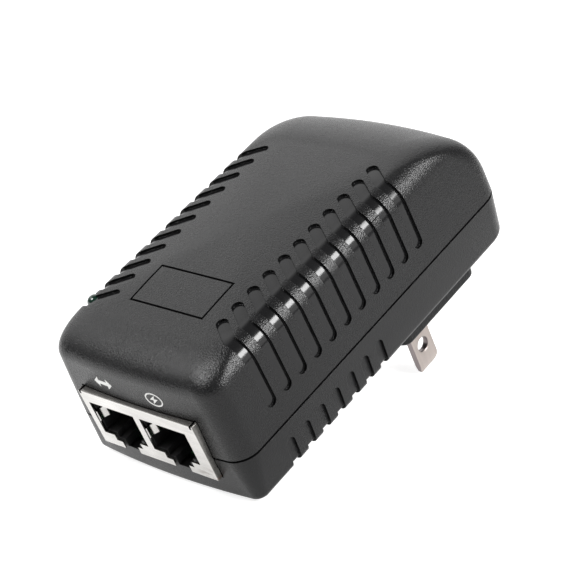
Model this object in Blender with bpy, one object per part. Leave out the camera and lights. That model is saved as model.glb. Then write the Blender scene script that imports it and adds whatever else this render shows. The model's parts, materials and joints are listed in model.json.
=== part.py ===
"""Wall-plug power-over-Ethernet injector, built as separate pieces.

Frame: origin on the flat outer face of the plug block, midway between the
two blades.  +Z up through the case (the blades point -Z), +Y along the case
away from the sockets, X across its width.  Sizes below are in millimetres
and are turned into metres by MM.
"""
import bpy
import bmesh
import math
from mathutils import Vector

for _ob in list(bpy.data.objects):
    bpy.data.objects.remove(_ob, do_unlink=True)

MM = 0.001
GAP = 0.3                   # clearance kept between neighbouring pieces

# ---------------------------------------------------------------- case
HALF_W = 23.2               # half width at the seam
Y_FRONT = -62.85            # socket end, at the middle of its bow
Y_BACK = 22.25              # far end, at the middle of its bow
Z_SEAM = 17.1               # parting line between the two shells
Z_BOTTOM = 6.75             # underside of the lower shell
Z_TOP = 37.67               # highest point of the crowned top
CROWN = 1.05                # rise of the top between its edge and its middle
CROWN_Y = -24.0             # where the crown is highest along the case
WALL = 2.0                  # wall thickness
BOW_FRONT, BOW_BACK = 1.2, 2.2      # how far each end bows out
CORNER_FRONT, CORNER_BACK = 4.8, 5.8
SIDE_ROLL = (4.4, 5.3)      # shoulder radii: across, down
FRONT_ROLL = (11.0, 4.9)
BACK_ROLL = (19.5, 14.9)
SIDE_DRAFT, FRONT_DRAFT, BACK_DRAFT = 3.0, 2.0, 0.6      # degrees, upper shell
LOW_DRAFT, LOW_FRONT_DRAFT = 4.0, 1.0                    # degrees, lower shell
LOW_EDGE = 1.6              # radius of the lower edge
LIP_H, LIP_OFF = 1.2, 1.15  # locating lip on the lower shell

# ---------------------------------------------------------------- grooves
GROOVES = 11
GROOVE_PITCH = 4.57
GROOVE_W = 2.4
GROOVE_DEPTH = 0.55
GROOVE_FIRST_Y = -50.57     # centre of the front groove on the side wall
GROOVE_TIP = (14.55, 3.04)  # tip centre: x, and its lead in y over the wall part
GROOVE_ANGLE = 35.0         # slant on the top face, degrees
GROOVE_END_Z = 21.75        # lowest point of a groove on the side wall
NOTCHES = 7
NOTCH_TOP_Z = 13.45
NOTCH_IN_X = 20.6

LABEL_X, LABEL_Y, LABEL_DEPTH = 9.62, (-47.5, -38.3), 0.4

# ---------------------------------------------------------------- plug
BLADE_X = 6.35              # blade centre from the middle, 12.7 apart
BLADE_W, BLADE_T = 6.1, 1.5
BLADE_LEN = 17.7
BLADE_HOLE_Z, BLADE_HOLE_R = -11.9, 1.55
BLADE_TOP_Z = 13.6
BLOCK_X = 16.95
BLOCK_Y = (-12.2, 12.2)
NECK_X, NECK_Y = 12.7, (-7.8, 9.6)

# ---------------------------------------------------------------- board
PCB_Z = (10.4, 12.0)
PCB_X = 19.6
PCB_Y = (-59.3, 17.2)
PARTS_Z = PCB_Z[1] + GAP    # where parts on the board start
POSTS = [(-16.6, -37.4), (16.6, -37.4), (-15.4, 13.4), (15.4, 13.4)]

# ---------------------------------------------------------------- jack
JACK_X = (-15.7, 15.45)
JACK_Y = (-63.48, -42.6)
JACK_Z = (12.3, 25.86)
SHEET = 0.35                # shield sheet
PORT_X = (-7.85, 6.15)      # socket centres, 14.0 apart
PORT_HALF = 6.15            # half width of each window
PORT_Z = (15.35, 23.2)
STEP1_X, STEP1_Z = (3.4, 3.9), 14.0         # latch channel: reach to -X and to +X
STEP2_X = (1.85, 2.5)
PORT_DEPTH = 14.6
CONTACT_PITCH = 1.016
HINGE_Y, HINGE_Z = -60.2, 22.55
CONTACT_END = (-50.6, 20.75)

MATERIALS = {
    "abs_black": ((0.055, 0.055, 0.057), 0.52, 0.0),
    "abs_block": ((0.045, 0.045, 0.047), 0.55, 0.0),
    "nickel_blade": ((0.62, 0.55, 0.51), 0.32, 1.0),
    "nickel_shield": ((0.86, 0.85, 0.83), 0.28, 1.0),
    "pbt_black": ((0.015, 0.015, 0.016), 0.45, 0.0),
    "gold": ((0.83, 0.61, 0.25), 0.25, 1.0),
    "led_green": ((0.05, 0.32, 0.15), 0.15, 0.0),
    "tinned": ((0.70, 0.70, 0.69), 0.35, 1.0),
    "fr4": ((0.03, 0.17, 0.07), 0.45, 0.0),
    "ferrite": ((0.045, 0.043, 0.045), 0.6, 0.0),
    "bobbin": ((0.03, 0.03, 0.03), 0.5, 0.0),
    "tape_yellow": ((0.72, 0.48, 0.04), 0.4, 0.0),
    "copper": ((0.60, 0.25, 0.10), 0.3, 1.0),
    "cap_sleeve": ((0.02, 0.04, 0.12), 0.35, 0.0),
    "cap_green": ((0.02, 0.12, 0.08), 0.35, 0.0),
    "epoxy_black": ((0.02, 0.02, 0.02), 0.5, 0.0),
    "film_yellow": ((0.70, 0.42, 0.03), 0.45, 0.0),
    "disc_blue": ((0.03, 0.12, 0.42), 0.4, 0.0),
    "fuse_brown": ((0.10, 0.04, 0.02), 0.4, 0.0),
    "aluminium": ((0.65, 0.66, 0.67), 0.4, 1.0),
    "steel": ((0.55, 0.55, 0.56), 0.35, 1.0),
}


def material(name):
    m = bpy.data.materials.get(name)
    if m is None:
        colour, rough, metal = MATERIALS[name]
        m = bpy.data.materials.new(name)
        m.use_nodes = True
        b = m.node_tree.nodes["Principled BSDF"]
        b.inputs["Base Color"].default_value = (*colour, 1.0)
        b.inputs["Roughness"].default_value = rough
        b.inputs["Metallic"].default_value = metal
        m.diffuse_color = (*colour, 1.0)
    return m


def obj(name, verts, faces, mat=None, origin=None, smooth=None):
    """One object from vertices in millimetres, with its origin at `origin`."""
    o = Vector(origin or (0, 0, 0))
    me = bpy.data.meshes.new(name)
    me.from_pydata([(Vector(v) - o) * MM for v in verts], [], faces)
    me.validate()
    bm = bmesh.new()
    bm.from_mesh(me)
    bmesh.ops.recalc_face_normals(bm, faces=bm.faces)
    bm.to_mesh(me)
    bm.free()
    if smooth is not None:
        me.shade_smooth()
        me.set_sharp_from_angle(angle=math.radians(smooth))
    ob = bpy.data.objects.new(name, me)
    ob.location = o * MM
    bpy.context.scene.collection.objects.link(ob)
    if mat:
        me.materials.append(material(mat))
    return ob


def helper(ob):
    ob.hide_render = True
    ob.display_type = 'WIRE'
    return ob


def boolean(ob, other, op='DIFFERENCE'):
    m = ob.modifiers.new(op.title(), 'BOOLEAN')
    m.operation = op
    m.solver = 'EXACT'
    m.object = other
    return m


class Solids:
    """Collects closed solids that share one object."""

    def __init__(self):
        self.v, self.f = [], []

    def add(self, verts, faces):
        n = len(self.v)
        self.v += [tuple(p) for p in verts]
        self.f += [tuple(i + n for i in q) for q in faces]
        return self

    def box(self, lo, hi):
        x0, y0, z0 = lo
        x1, y1, z1 = hi
        v = [(x0, y0, z0), (x1, y0, z0), (x1, y1, z0), (x0, y1, z0),
             (x0, y0, z1), (x1, y0, z1), (x1, y1, z1), (x0, y1, z1)]
        f = [(0, 3, 2, 1), (4, 5, 6, 7), (0, 1, 5, 4), (1, 2, 6, 5), (2, 3, 7, 6), (3, 0, 4, 7)]
        return self.add(v, f)

    def prism(self, pts, axis, a, b):
        """A polygon in the two axes after `axis` (cyclic), extruded along it."""
        n = len(pts)
        put = {'x': lambda p, t: (t, p[0], p[1]),
               'y': lambda p, t: (p[0], t, p[1]),
               'z': lambda p, t: (p[0], p[1], t)}[axis]
        v = [put(p, a) for p in pts] + [put(p, b) for p in pts]
        f = [tuple(range(n - 1, -1, -1)), tuple(range(n, 2 * n))]
        f += [(i, (i + 1) % n, n + (i + 1) % n, n + i) for i in range(n)]
        return self.add(v, f)

    def turned(self, profile, centre, axis=(0, 0, 1), n=20):
        """A solid of revolution; profile is (radius, height) from pole to pole."""
        ax = Vector(axis).normalized()
        u = ax.orthogonal().normalized()
        w = ax.cross(u)
        c = Vector(centre)
        v, rows = [], []
        for r, h in profile:
            if r < 1e-6:
                rows.append([len(v)])
                v.append(tuple(c + ax * h))
            else:
                rows.append(list(range(len(v), len(v) + n)))
                for i in range(n):
                    t = 2 * math.pi * i / n
                    v.append(tuple(c + ax * h + (u * math.cos(t) + w * math.sin(t)) * r))
        f = []
        for a, b in zip(rows, rows[1:]):
            for i in range(n):
                j = (i + 1) % n
                if len(a) == 1:
                    f.append((a[0], b[j], b[i]))
                elif len(b) == 1:
                    f.append((a[i], a[j], b[0]))
                else:
                    f.append((a[i], a[j], b[j], b[i]))
        return self.add(v, f)

    def wire(self, path, r, n=6):
        """A round wire along a path of points, with flat ends."""
        pts = [Vector(p) for p in path]
        v, f = [], []
        for k, p in enumerate(pts):
            if k == 0:
                d = pts[1] - p
            elif k == len(pts) - 1:
                d = p - pts[-2]
            else:
                d = (pts[k + 1] - p).normalized() + (p - pts[k - 1]).normalized()
            d.normalize()
            side = Vector((0, 1, 0)) if abs(d.y) < 0.9 else Vector((1, 0, 0))
            u = side.cross(d).normalized()
            w = d.cross(u)
            v += [tuple(p + (u * math.cos(2 * math.pi * i / n) + w * math.sin(2 * math.pi * i / n)) * r)
                  for i in range(n)]
        m = len(pts)
        f.append(tuple(range(n - 1, -1, -1)))
        f.append(tuple((m - 1) * n + i for i in range(n)))
        for k in range(m - 1):
            for i in range(n):
                j = (i + 1) % n
                f.append((k * n + i, k * n + j, (k + 1) * n + j, (k + 1) * n + i))
        return self.add(v, f)

    def loft(self, rings, first, last):
        """Rings of equal length joined in turn and closed at two poles."""
        n = len(rings[0])
        v = [first] + [p for r in rings for p in r] + [last]
        f = []
        for i in range(n):
            j = (i + 1) % n
            f.append((0, 1 + j, 1 + i))
            e = 1 + (len(rings) - 1) * n
            f.append((e + i, e + j, len(v) - 1))
            for k in range(len(rings) - 1):
                a = 1 + k * n
                f.append((a + i, a + j, a + n + j, a + n + i))
        return self.add(v, f)

    def make(self, name, mat=None, origin=None, smooth=None):
        return obj(name, self.v, self.f, mat, origin, smooth)


# ---------------------------------------------------------------- case shape
def tan(deg):
    return math.tan(math.radians(deg))


def outline(hw, yf, yb, rf, rb, nc=5, ne=6):
    """Plan of the case: straight sides, round corners and bowed ends."""
    rf, rb = max(rf, 0.4), max(rb, 0.4)

    def corner(r, y_end, bow, s):
        xe = hw - r
        ye = y_end - s * bow * (xe / HALF_W) ** 2
        return [(xe + r * math.cos(a), ye - s * r + s * r * math.sin(a))
                for a in (math.pi / 2 * k / nc for k in range(nc + 1))]

    def end(r, y_end, bow, s):
        xe = hw - r
        return [(xe * t, y_end - s * bow * (xe * t / HALF_W) ** 2)
                for t in (1 - 2 * k / ne for k in range(1, ne))]

    cb, cf = corner(rb, yb, BOW_BACK, 1), corner(rf, yf, BOW_FRONT, -1)
    back, front = end(rb, yb, BOW_BACK, 1), end(rf, yf, BOW_FRONT, -1)
    return (cb + back + [(-x, y) for x, y in reversed(cb)] +
            [(-x, y) for x, y in cf] + list(reversed(front)) + list(reversed(cf)))


def roll(radii, off, z):
    """Inset of a shoulder at height z, for a surface `off` inside the skin."""
    rh, rv = max(radii[0] - off, 0.3), max(radii[1] - off, 0.3)
    zc = Z_TOP - CROWN - radii[1]
    u = min(max((z - zc) / rv, 0.0), 1.0)
    return rh * (1 - math.sqrt(1 - u * u))


def upper_ring(z, off):
    d = z - Z_SEAM
    k = min(max(d / (Z_TOP - Z_SEAM), 0.0), 1.0)
    pts = outline(HALF_W - off - d * tan(SIDE_DRAFT) - roll(SIDE_ROLL, off, z),
                  Y_FRONT + off + d * tan(FRONT_DRAFT) + roll(FRONT_ROLL, off, z),
                  Y_BACK - off - d * tan(BACK_DRAFT) - roll(BACK_ROLL, off, z),
                  CORNER_FRONT - off + 0.8 * k * k, CORNER_BACK - off + 1.0 * k * k)
    return [(x, y, z) for x, y in pts]


def upper_surface(off, z_low, crown_steps=(0.82, 0.6, 0.33)):
    """Rings from the top's middle down to z_low, and the top pole."""
    zt = Z_TOP - CROWN - off
    drops = [0.0, 0.12, 0.5, 1.2, 2.2, 3.5, 5.3, 9.3, 14.9]
    levels = [zt - d * (1 if off == 0 else (14.9 - off) / 14.9) for d in drops]
    levels = [z for z in levels if z > z_low + 0.2] + [z_low]
    edge = upper_ring(zt, off)
    rings = []
    for s in reversed(crown_steps):
        rings.append([(x * s, CROWN_Y + (y - CROWN_Y) * s, zt + CROWN * (1 - s * s)) for x, y, _ in edge])
    rings += [upper_ring(z, off) for z in levels]
    return rings, (0, CROWN_Y, zt + CROWN)


def lower_ring(z, off):
    d = Z_SEAM - z
    r = max(LOW_EDGE - off, 0.25)
    zc = Z_BOTTOM + off + r
    u = min(max((zc - z) / r, 0.0), 1.0)
    e = r * (1 - math.sqrt(1 - u * u))
    pts = outline(HALF_W - off - d * tan(LOW_DRAFT) - e,
                  Y_FRONT + off + d * tan(LOW_FRONT_DRAFT) + e,
                  Y_BACK - off - d * tan(LOW_DRAFT) - e,
                  CORNER_FRONT - off - 0.27 * max(d, 0.0), CORNER_BACK - off)
    return [(x, y, z) for x, y in pts]


def lower_levels(off, z_high):
    zb = Z_BOTTOM + off
    r = max(LOW_EDGE - off, 0.25)
    return [z_high] + [zb + r * (1 - math.sin(math.pi / 2 * k / 4)) for k in range(5)]


# the space left under a groove, a notch and the label
def upper_core(name, off):
    rings, pole = upper_surface(off, Z_SEAM - 4)
    return helper(Solids().loft(rings, pole, (0, CROWN_Y, Z_SEAM - 4)).make(name))


def lower_core(name, off):
    rings = [lower_ring(z, off) for z in lower_levels(off, Z_SEAM + 3)]
    return helper(Solids().loft(rings, (0, CROWN_Y, Z_SEAM + 3), (0, CROWN_Y, Z_BOTTOM + off)).make(name))


def stadium_half(cy, cz, r, z_far, n=6):
    """YZ outline with a round end at cz and a square end at z_far."""
    s = 1 if z_far > cz else -1
    arc = [(cy - r * math.cos(math.pi * k / n), cz - s * r * math.sin(math.pi * k / n)) for k in range(n + 1)]
    return arc + [(cy + r, z_far), (cy - r, z_far)]


def groove_top_outline(y_side, sx):
    """Plan of the slanted part of one groove, kinked on to the side wall."""
    h = GROOVE_W / 2
    a = math.radians(GROOVE_ANGLE)
    tx, ty = GROOVE_TIP[0], y_side + GROOVE_TIP[1]
    kx = tx + GROOVE_TIP[1] / math.tan(a)
    m = h * math.tan(a / 2)
    d = (math.cos(a), -math.sin(a))
    nrm = (math.sin(a), math.cos(a))
    tip = []
    for k in range(7):
        t = math.pi * k / 6
        c, s = math.cos(t), math.sin(t)
        tip.append((tx + h * (nrm[0] * c - d[0] * s), ty + h * (nrm[1] * c - d[1] * s)))
    pts = tip + [(kx - m, y_side - h), (kx + 0.6, y_side - h), (kx + 0.6, y_side + h), (kx + m, y_side + h)]
    return [(sx * x, y) for x, y in pts]


# ---------------------------------------------------------------- upper shell
def make_top_cover():
    z0 = Z_SEAM + GAP / 2
    outer, pole = upper_surface(0.0, z0)
    inner, ipole = upper_surface(WALL, Z_SEAM + LIP_H + GAP, crown_steps=(0.6,))
    lip_gap = [upper_ring(z0, LIP_OFF - GAP), upper_ring(Z_SEAM + LIP_H + GAP, LIP_OFF - GAP)]
    rings = outer + lip_gap + list(reversed(inner))
    cover = Solids().loft(rings, pole, ipole).make("top_cover", "abs_black", smooth=32)

    core1 = upper_core("groove_floor", GROOVE_DEPTH)
    side, top = Solids(), Solids()
    r = GROOVE_W / 2
    kx = GROOVE_TIP[0] + GROOVE_TIP[1] / tan(GROOVE_ANGLE)
    for k in range(GROOVES):
        y = GROOVE_FIRST_Y + GROOVE_PITCH * k
        for sx in (-1, 1):
            prof = stadium_half(y, GROOVE_END_Z + r, r, 41.0)
            side.prism(prof, 'x', *sorted((sx * (kx + 0.3), sx * 26.0)))
            top.prism(groove_top_outline(y, sx), 'z', 30.5, 41.0)
    side = helper(side.make("groove_side_cutter"))
    top = helper(top.make("groove_top_cutter"))
    boolean(side, core1)
    boolean(top, core1)
    boolean(cover, side)
    boolean(cover, top)

    core2 = upper_core("label_floor", LABEL_DEPTH)
    label = helper(Solids().box((-LABEL_X, LABEL_Y[0], 33.0), (LABEL_X, LABEL_Y[1], 41.0)).make("label_cutter"))
    boolean(label, core2)
    boolean(cover, label)

    jack = helper(Solids().box((JACK_X[0] - GAP, -66.0, Z_SEAM - 3), (JACK_X[1] + GAP, -57.5, JACK_Z[1] + GAP))
                  .make("jack_gate_upper"))
    boolean(cover, jack)
    led = helper(Solids().turned([(0, -4.5), (1.85, -4.5), (1.85, 4.0), (0, 4.0)], LED_AT, LED_AXIS, 16)
                 .make("led_hole_cutter"))
    boolean(cover, led)
    return cover


# the LED pokes through the shoulder on the -X side
LED_AT = (-20.36, -49.2, 35.66)
LED_AXIS = (-0.645, -0.05, 0.764)


# ---------------------------------------------------------------- lower shell
def make_bottom_housing():
    z1 = Z_SEAM - GAP / 2
    outer = [lower_ring(z, 0.0) for z in reversed(lower_levels(0.0, z1))]
    lip = [lower_ring(z1, LIP_OFF), lower_ring(Z_SEAM + LIP_H, LIP_OFF), lower_ring(Z_SEAM + LIP_H, WALL)]
    inner = [lower_ring(z, WALL) for z in (z1, Z_BOTTOM + WALL + 0.25, Z_BOTTOM + WALL)]
    body = Solids().loft(outer + lip + inner, (0, CROWN_Y, Z_BOTTOM), (0, CROWN_Y, Z_BOTTOM + WALL))
    body = body.make("bottom_housing", "abs_black", smooth=32)

    core = lower_core("notch_floor", GROOVE_DEPTH)
    cut = Solids()
    r = GROOVE_W / 2
    for k in range(NOTCHES):
        y = GROOVE_FIRST_Y + GROOVE_PITCH * k
        for sx in (-1, 1):
            cut.prism(stadium_half(y, NOTCH_TOP_Z - r, r, 4.0), 'x', *sorted((sx * NOTCH_IN_X, sx * 26.0)))
    cut = helper(cut.make("notch_cutter"))
    boolean(cut, core)
    boolean(body, cut)

    posts = Solids()
    for x, y in POSTS:
        posts.turned([(0, Z_BOTTOM + 1.0), (2.6, Z_BOTTOM + 1.0), (2.6, PCB_Z[0] - GAP), (0, PCB_Z[0] - GAP)],
                     (x, y, 0), n=16)
    boolean(body, helper(posts.make("board_posts")), 'UNION')
    pilots = Solids()
    for x, y in POSTS:
        pilots.turned([(0, 7.9), (1.15, 7.9), (1.15, 12.0), (0, 12.0)], (x, y, 0), n=12)
    boolean(body, helper(pilots.make("pilot_cutter")))
    boolean(body, helper(Solids().box((-NECK_X - GAP, NECK_Y[0] - GAP, 4.0), (NECK_X + GAP, NECK_Y[1] + GAP, 9.6))
                         .make("neck_gate")))
    boolean(body, helper(Solids().box((JACK_X[0] - GAP, -66.0, JACK_Z[0] - GAP), (JACK_X[1] + GAP, -57.5, 22.0))
                         .make("jack_gate_lower")))
    return body


# ---------------------------------------------------------------- plug
def rounded_rect(x0, x1, y0, y1, r, n=4):
    pts = []
    for cx, cy, a0 in ((x1 - r, y1 - r, 0), (x0 + r, y1 - r, 90), (x0 + r, y0 + r, 180), (x1 - r, y0 + r, 270)):
        for k in range(n + 1):
            a = math.radians(a0 + 90 * k / n)
            pts.append((cx + r * math.cos(a), cy + r * math.sin(a)))
    return pts


def make_plug_block():
    rings = []
    zt = Z_BOTTOM - GAP
    for z, e in ((0.0, 0.5), (0.2, 0.15), (0.6, 0.0), (zt, -0.2)):
        rings.append([(x, y, z) for x, y in
                      rounded_rect(-BLOCK_X + e, BLOCK_X - e, BLOCK_Y[0] + e, BLOCK_Y[1] - e, 2.0 - e * 0.5)])
    for z in (zt, 9.8):
        rings.append([(x, y, z) for x, y in rounded_rect(-NECK_X, NECK_X, NECK_Y[0], NECK_Y[1], 0.8)])
    yc = (BLOCK_Y[0] + BLOCK_Y[1]) / 2
    block = Solids().loft(rings, (0, yc, 0.0), (0, yc, 9.8)).make("plug_block", "abs_block", smooth=32)
    cut = Solids()
    for s in (-1, 1):
        cut.box((s * BLADE_X - BLADE_T / 2 - GAP, -BLADE_W / 2 - GAP, -2.0),
                (s * BLADE_X + BLADE_T / 2 + GAP, BLADE_W / 2 + GAP, 12.0))
    boolean(block, helper(cut.make("blade_slots")))
    return block


def make_blade(name, s):
    """A flat blade: broad faces across X, with an eased tip and a hole."""
    h, t = BLADE_W / 2, BLADE_T / 2
    z0 = -BLADE_LEN
    tip = [(-h + 1.0, z0), (h - 1.0, z0), (h - 0.46, z0 + 0.17), (h - 0.12, z0 + 0.55), (h, z0 + 1.1)]
    tip_l = [(-h, z0 + 1.1), (-h + 0.12, z0 + 0.55), (-h + 0.46, z0 + 0.17)]
    shank = [(h, 9.4), (1.9, 9.9), (1.9, BLADE_TOP_Z), (-1.9, BLADE_TOP_Z), (-1.9, 9.9), (-h, 9.4)]
    prof = tip + shank + tip_l
    b = Solids().prism(prof, 'x', s * BLADE_X - t, s * BLADE_X + t).make(name, "nickel_blade", smooth=30)
    wedge = Solids()
    for q in (-1, 1):
        pts = [(q * (t - 0.45), z0 - 0.5), (q * (t - 0.40), z0), (q * (t + 0.02), z0 + 1.6), (q * (t + 1.0), z0 + 1.6),
               (q * (t + 1.0), z0 - 0.5)]
        wedge.prism([(s * BLADE_X + a, b2) for a, b2 in pts], 'y', -h - 1, h + 1)
    boolean(b, helper(wedge.make(name + "_tip_cutter")))
    hole = Solids().turned([(0, -2), (BLADE_HOLE_R, -2), (BLADE_HOLE_R, 2), (0, 2)],
                           (s * BLADE_X, 0, BLADE_HOLE_Z), (1, 0, 0), 24)
    boolean(b, helper(hole.make(name + "_hole_cutter")))
    return b


# ---------------------------------------------------------------- jack
def port_outline(cx, grow=0.0, bottom=None):
    """Window of one socket, latch channel down."""
    b = JACK_Z[0] - 1.0 if bottom is None else bottom
    z0, z1, zs = PORT_Z[0] - grow, PORT_Z[1] + grow, STEP1_Z - grow

    def half(k, s):
        h, a, c = PORT_HALF + grow, STEP1_X[k] + grow, STEP2_X[k] + grow
        return [(cx + s * x, z) for x, z in ((c, b), (c, zs), (a, zs), (a, z0), (h, z0), (h, z1))]

    return half(1, 1) + list(reversed(half(0, -1)))


def make_jack_shield():
    s = SHEET
    x0, x1 = JACK_X
    y0, y1 = JACK_Y
    z0, z1 = JACK_Z
    shield = Solids().box((x0, y0, z0), (x1, y1, z1)).make("jack_shield", "nickel_shield")
    boolean(shield, helper(Solids().box((x0 + s, y0 + s, z0 - 2), (x1 - s, y1 - s, z1 - s)).make("shield_inside")))
    win = Solids()
    for cx in PORT_X:
        win.prism(port_outline(cx), 'y', y0 - 1, y0 + s + 0.3)
    boolean(shield, helper(win.make("window_cutter")))
    fingers = Solids()
    for cx in PORT_X:
        for q in (-1, 1):
            # a springy tab folded in from the window's edge, bulging into the socket
            e = cx + q * PORT_HALF
            path = [(e + q * 0.10, y0 + 0.02), (e - q * 0.30, y0 + 1.0), (e - q * 0.55, y0 + 2.3), (e - q * 0.28, y0 + 3.6)]
            back = [(a + q * 0.3, b) for a, b in reversed(path)]
            back[-1] = (e + q * 0.45, y0 + 0.02)
            fingers.prism(path + back if q < 0 else path + back, 'z', 18.4, 20.45)
    boolean(shield, helper(fingers.make("shield_fingers")), 'UNION')
    return shield


def make_jack_housing():
    s = SHEET + GAP
    x0, x1 = JACK_X[0] + s, JACK_X[1] - s
    y0, y1 = JACK_Y[0] + s, JACK_Y[1] - s
    house = Solids().box((x0, y0, JACK_Z[0]), (x1, y1, JACK_Z[1] - s)).make("jack_housing", "pbt_black")
    cut = Solids()
    for cx in PORT_X:
        cut.prism(port_outline(cx, -0.2), 'y', y0 - 1, y0 + PORT_DEPTH)
    boolean(house, helper(cut.make("socket_cutter")))
    # side pockets that let the shield's fingers flex
    pock = Solids()
    for cx in PORT_X:
        for q in (-1, 1):
            a, b = cx + q * (PORT_HALF - 1.2), cx + q * (PORT_HALF + 0.62)
            pock.box((min(a, b), y0 - 1, 18.0), (max(a, b), y0 + 4.2, 20.85))
    boolean(house, helper(pock.make("finger_pockets")))
    return house


def make_contacts(name, cx):
    """Eight spring strips hanging from the front of one socket's roof."""
    w, t = 0.21, 0.30
    y1, z1 = CONTACT_END
    run, drop = y1 - HINGE_Y, HINGE_Z - z1
    n = (drop / math.hypot(run, drop), run / math.hypot(run, drop))
    up = [(HINGE_Y, HINGE_Z), (HINGE_Y + run * 0.55, HINGE_Z - drop * 0.62), (y1 - 0.9, z1 + 0.02), (y1, z1 + 0.32)]
    lo = [(y - n[0] * t, z - n[1] * t) for y, z in up]
    for i in range(8):
        x = cx + (i - 3.5) * CONTACT_PITCH
        Solids().prism(up + list(reversed(lo)), 'x', x - w, x + w) \
            .make(f"{name}_{i + 1}", "gold", origin=(x, HINGE_Y, HINGE_Z - t / 2))


# ---------------------------------------------------------------- board and its parts
def make_pcb():
    c = 4.2
    x, (y0, y1) = PCB_X, PCB_Y
    pts = [(-x + c, y0), (x - c, y0), (x, y0 + c), (x, y1 - c), (x - c, y1), (-x + c, y1), (-x, y1 - c), (-x, y0 + c)]
    pcb = Solids().prism(pts, 'z', *PCB_Z).make("pcb", "fr4")
    cut = Solids()
    for s in (-1, 1):
        cut.box((s * BLADE_X - BLADE_T / 2 - GAP, -1.9 - GAP, 9.0), (s * BLADE_X + BLADE_T / 2 + GAP, 1.9 + GAP, 13.0))
    for px, py in POSTS:
        cut.turned([(0, 9.0), (1.35, 9.0), (1.35, 13.0), (0, 13.0)], (px, py, 0), n=12)
    boolean(pcb, helper(cut.make("board_holes")))
    return pcb


def capacitor(name, x, y, r, h, mat):
    """A standing electrolytic can with a rolled neck and a vented top."""
    z = PARTS_Z
    prof = [(0, z), (r, z), (r, z + 1.1), (r - 0.35, z + 1.45), (r, z + 1.8), (r, z + h - 0.5), (r - 0.5, z + h),
            (0, z + h)]
    return Solids().turned(prof, (x, y, 0), n=16).make(name, mat, smooth=40)


def make_transformer(cy):
    zc = 21.0
    for s in (-1, 1):
        pts = [(-10, 8), (10, 8), (10, GAP / 2), (7.6, GAP / 2), (7.6, 5.7), (2.4, 5.7), (2.4, GAP / 2),
               (-2.4, GAP / 2), (-2.4, 5.7), (-7.6, 5.7), (-7.6, GAP / 2), (-10, GAP / 2)]
        pts = [(x, cy + s * y) for x, y in pts]
        name = "transformer_core_front" if s < 0 else "transformer_core_back"
        Solids().prism(pts, 'z', zc - 2.5, zc + 2.5).make(name, "ferrite")
    bob = Solids().box((-3.5, cy - 5.4, zc - 3.6), (3.5, cy + 5.4, zc + 3.6)).make("transformer_bobbin", "bobbin")
    ends = Solids()
    for s in (-1, 1):
        a, b = sorted((cy + s * 5.4, cy + s * 4.6))
        ends.box((-7.3, a, zc - 6.9), (7.3, b, zc + 6.9))
    boolean(bob, helper(ends.make("bobbin_flanges")), 'UNION')
    rails = Solids()
    for s in (-1, 1):
        a, b = sorted((cy + s * 7.9, cy + s * 4.9))
        rails.box((-8.2, a, PARTS_Z), (8.2, b, zc - 6.2))
    boolean(bob, helper(rails.make("bobbin_rails")), 'UNION')
    leg = Solids().box((-2.7, cy - 9, zc - 2.8), (2.7, cy + 9, zc + 2.8))
    boolean(bob, helper(leg.make("bobbin_bore")))
    w = Solids()
    rings = []
    for y, g in ((-4.2, 0.0), (4.2, 0.0)):
        rings.append([(x, cy + y, z) for x, z in rounded_rect(-7.0, 7.0, zc - 6.6, zc + 6.6, 2.0)])
    inner = []
    for y in (4.2, -4.2):
        inner.append([(x, cy + y, z) for x, z in rounded_rect(-3.85, 3.85, zc - 3.95, zc + 3.95, 0.3)])
    ring = rings + inner
    n = len(ring[0])
    v = [p for r in ring for p in r]
    f = []
    for k in range(4):
        a, b = k * n, ((k + 1) % 4) * n
        for i in range(n):
            j = (i + 1) % n
            f.append((a + i, a + j, b + j, b + i))
    w.add(v, f).make("transformer_winding", "tape_yellow", smooth=30)


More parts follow.
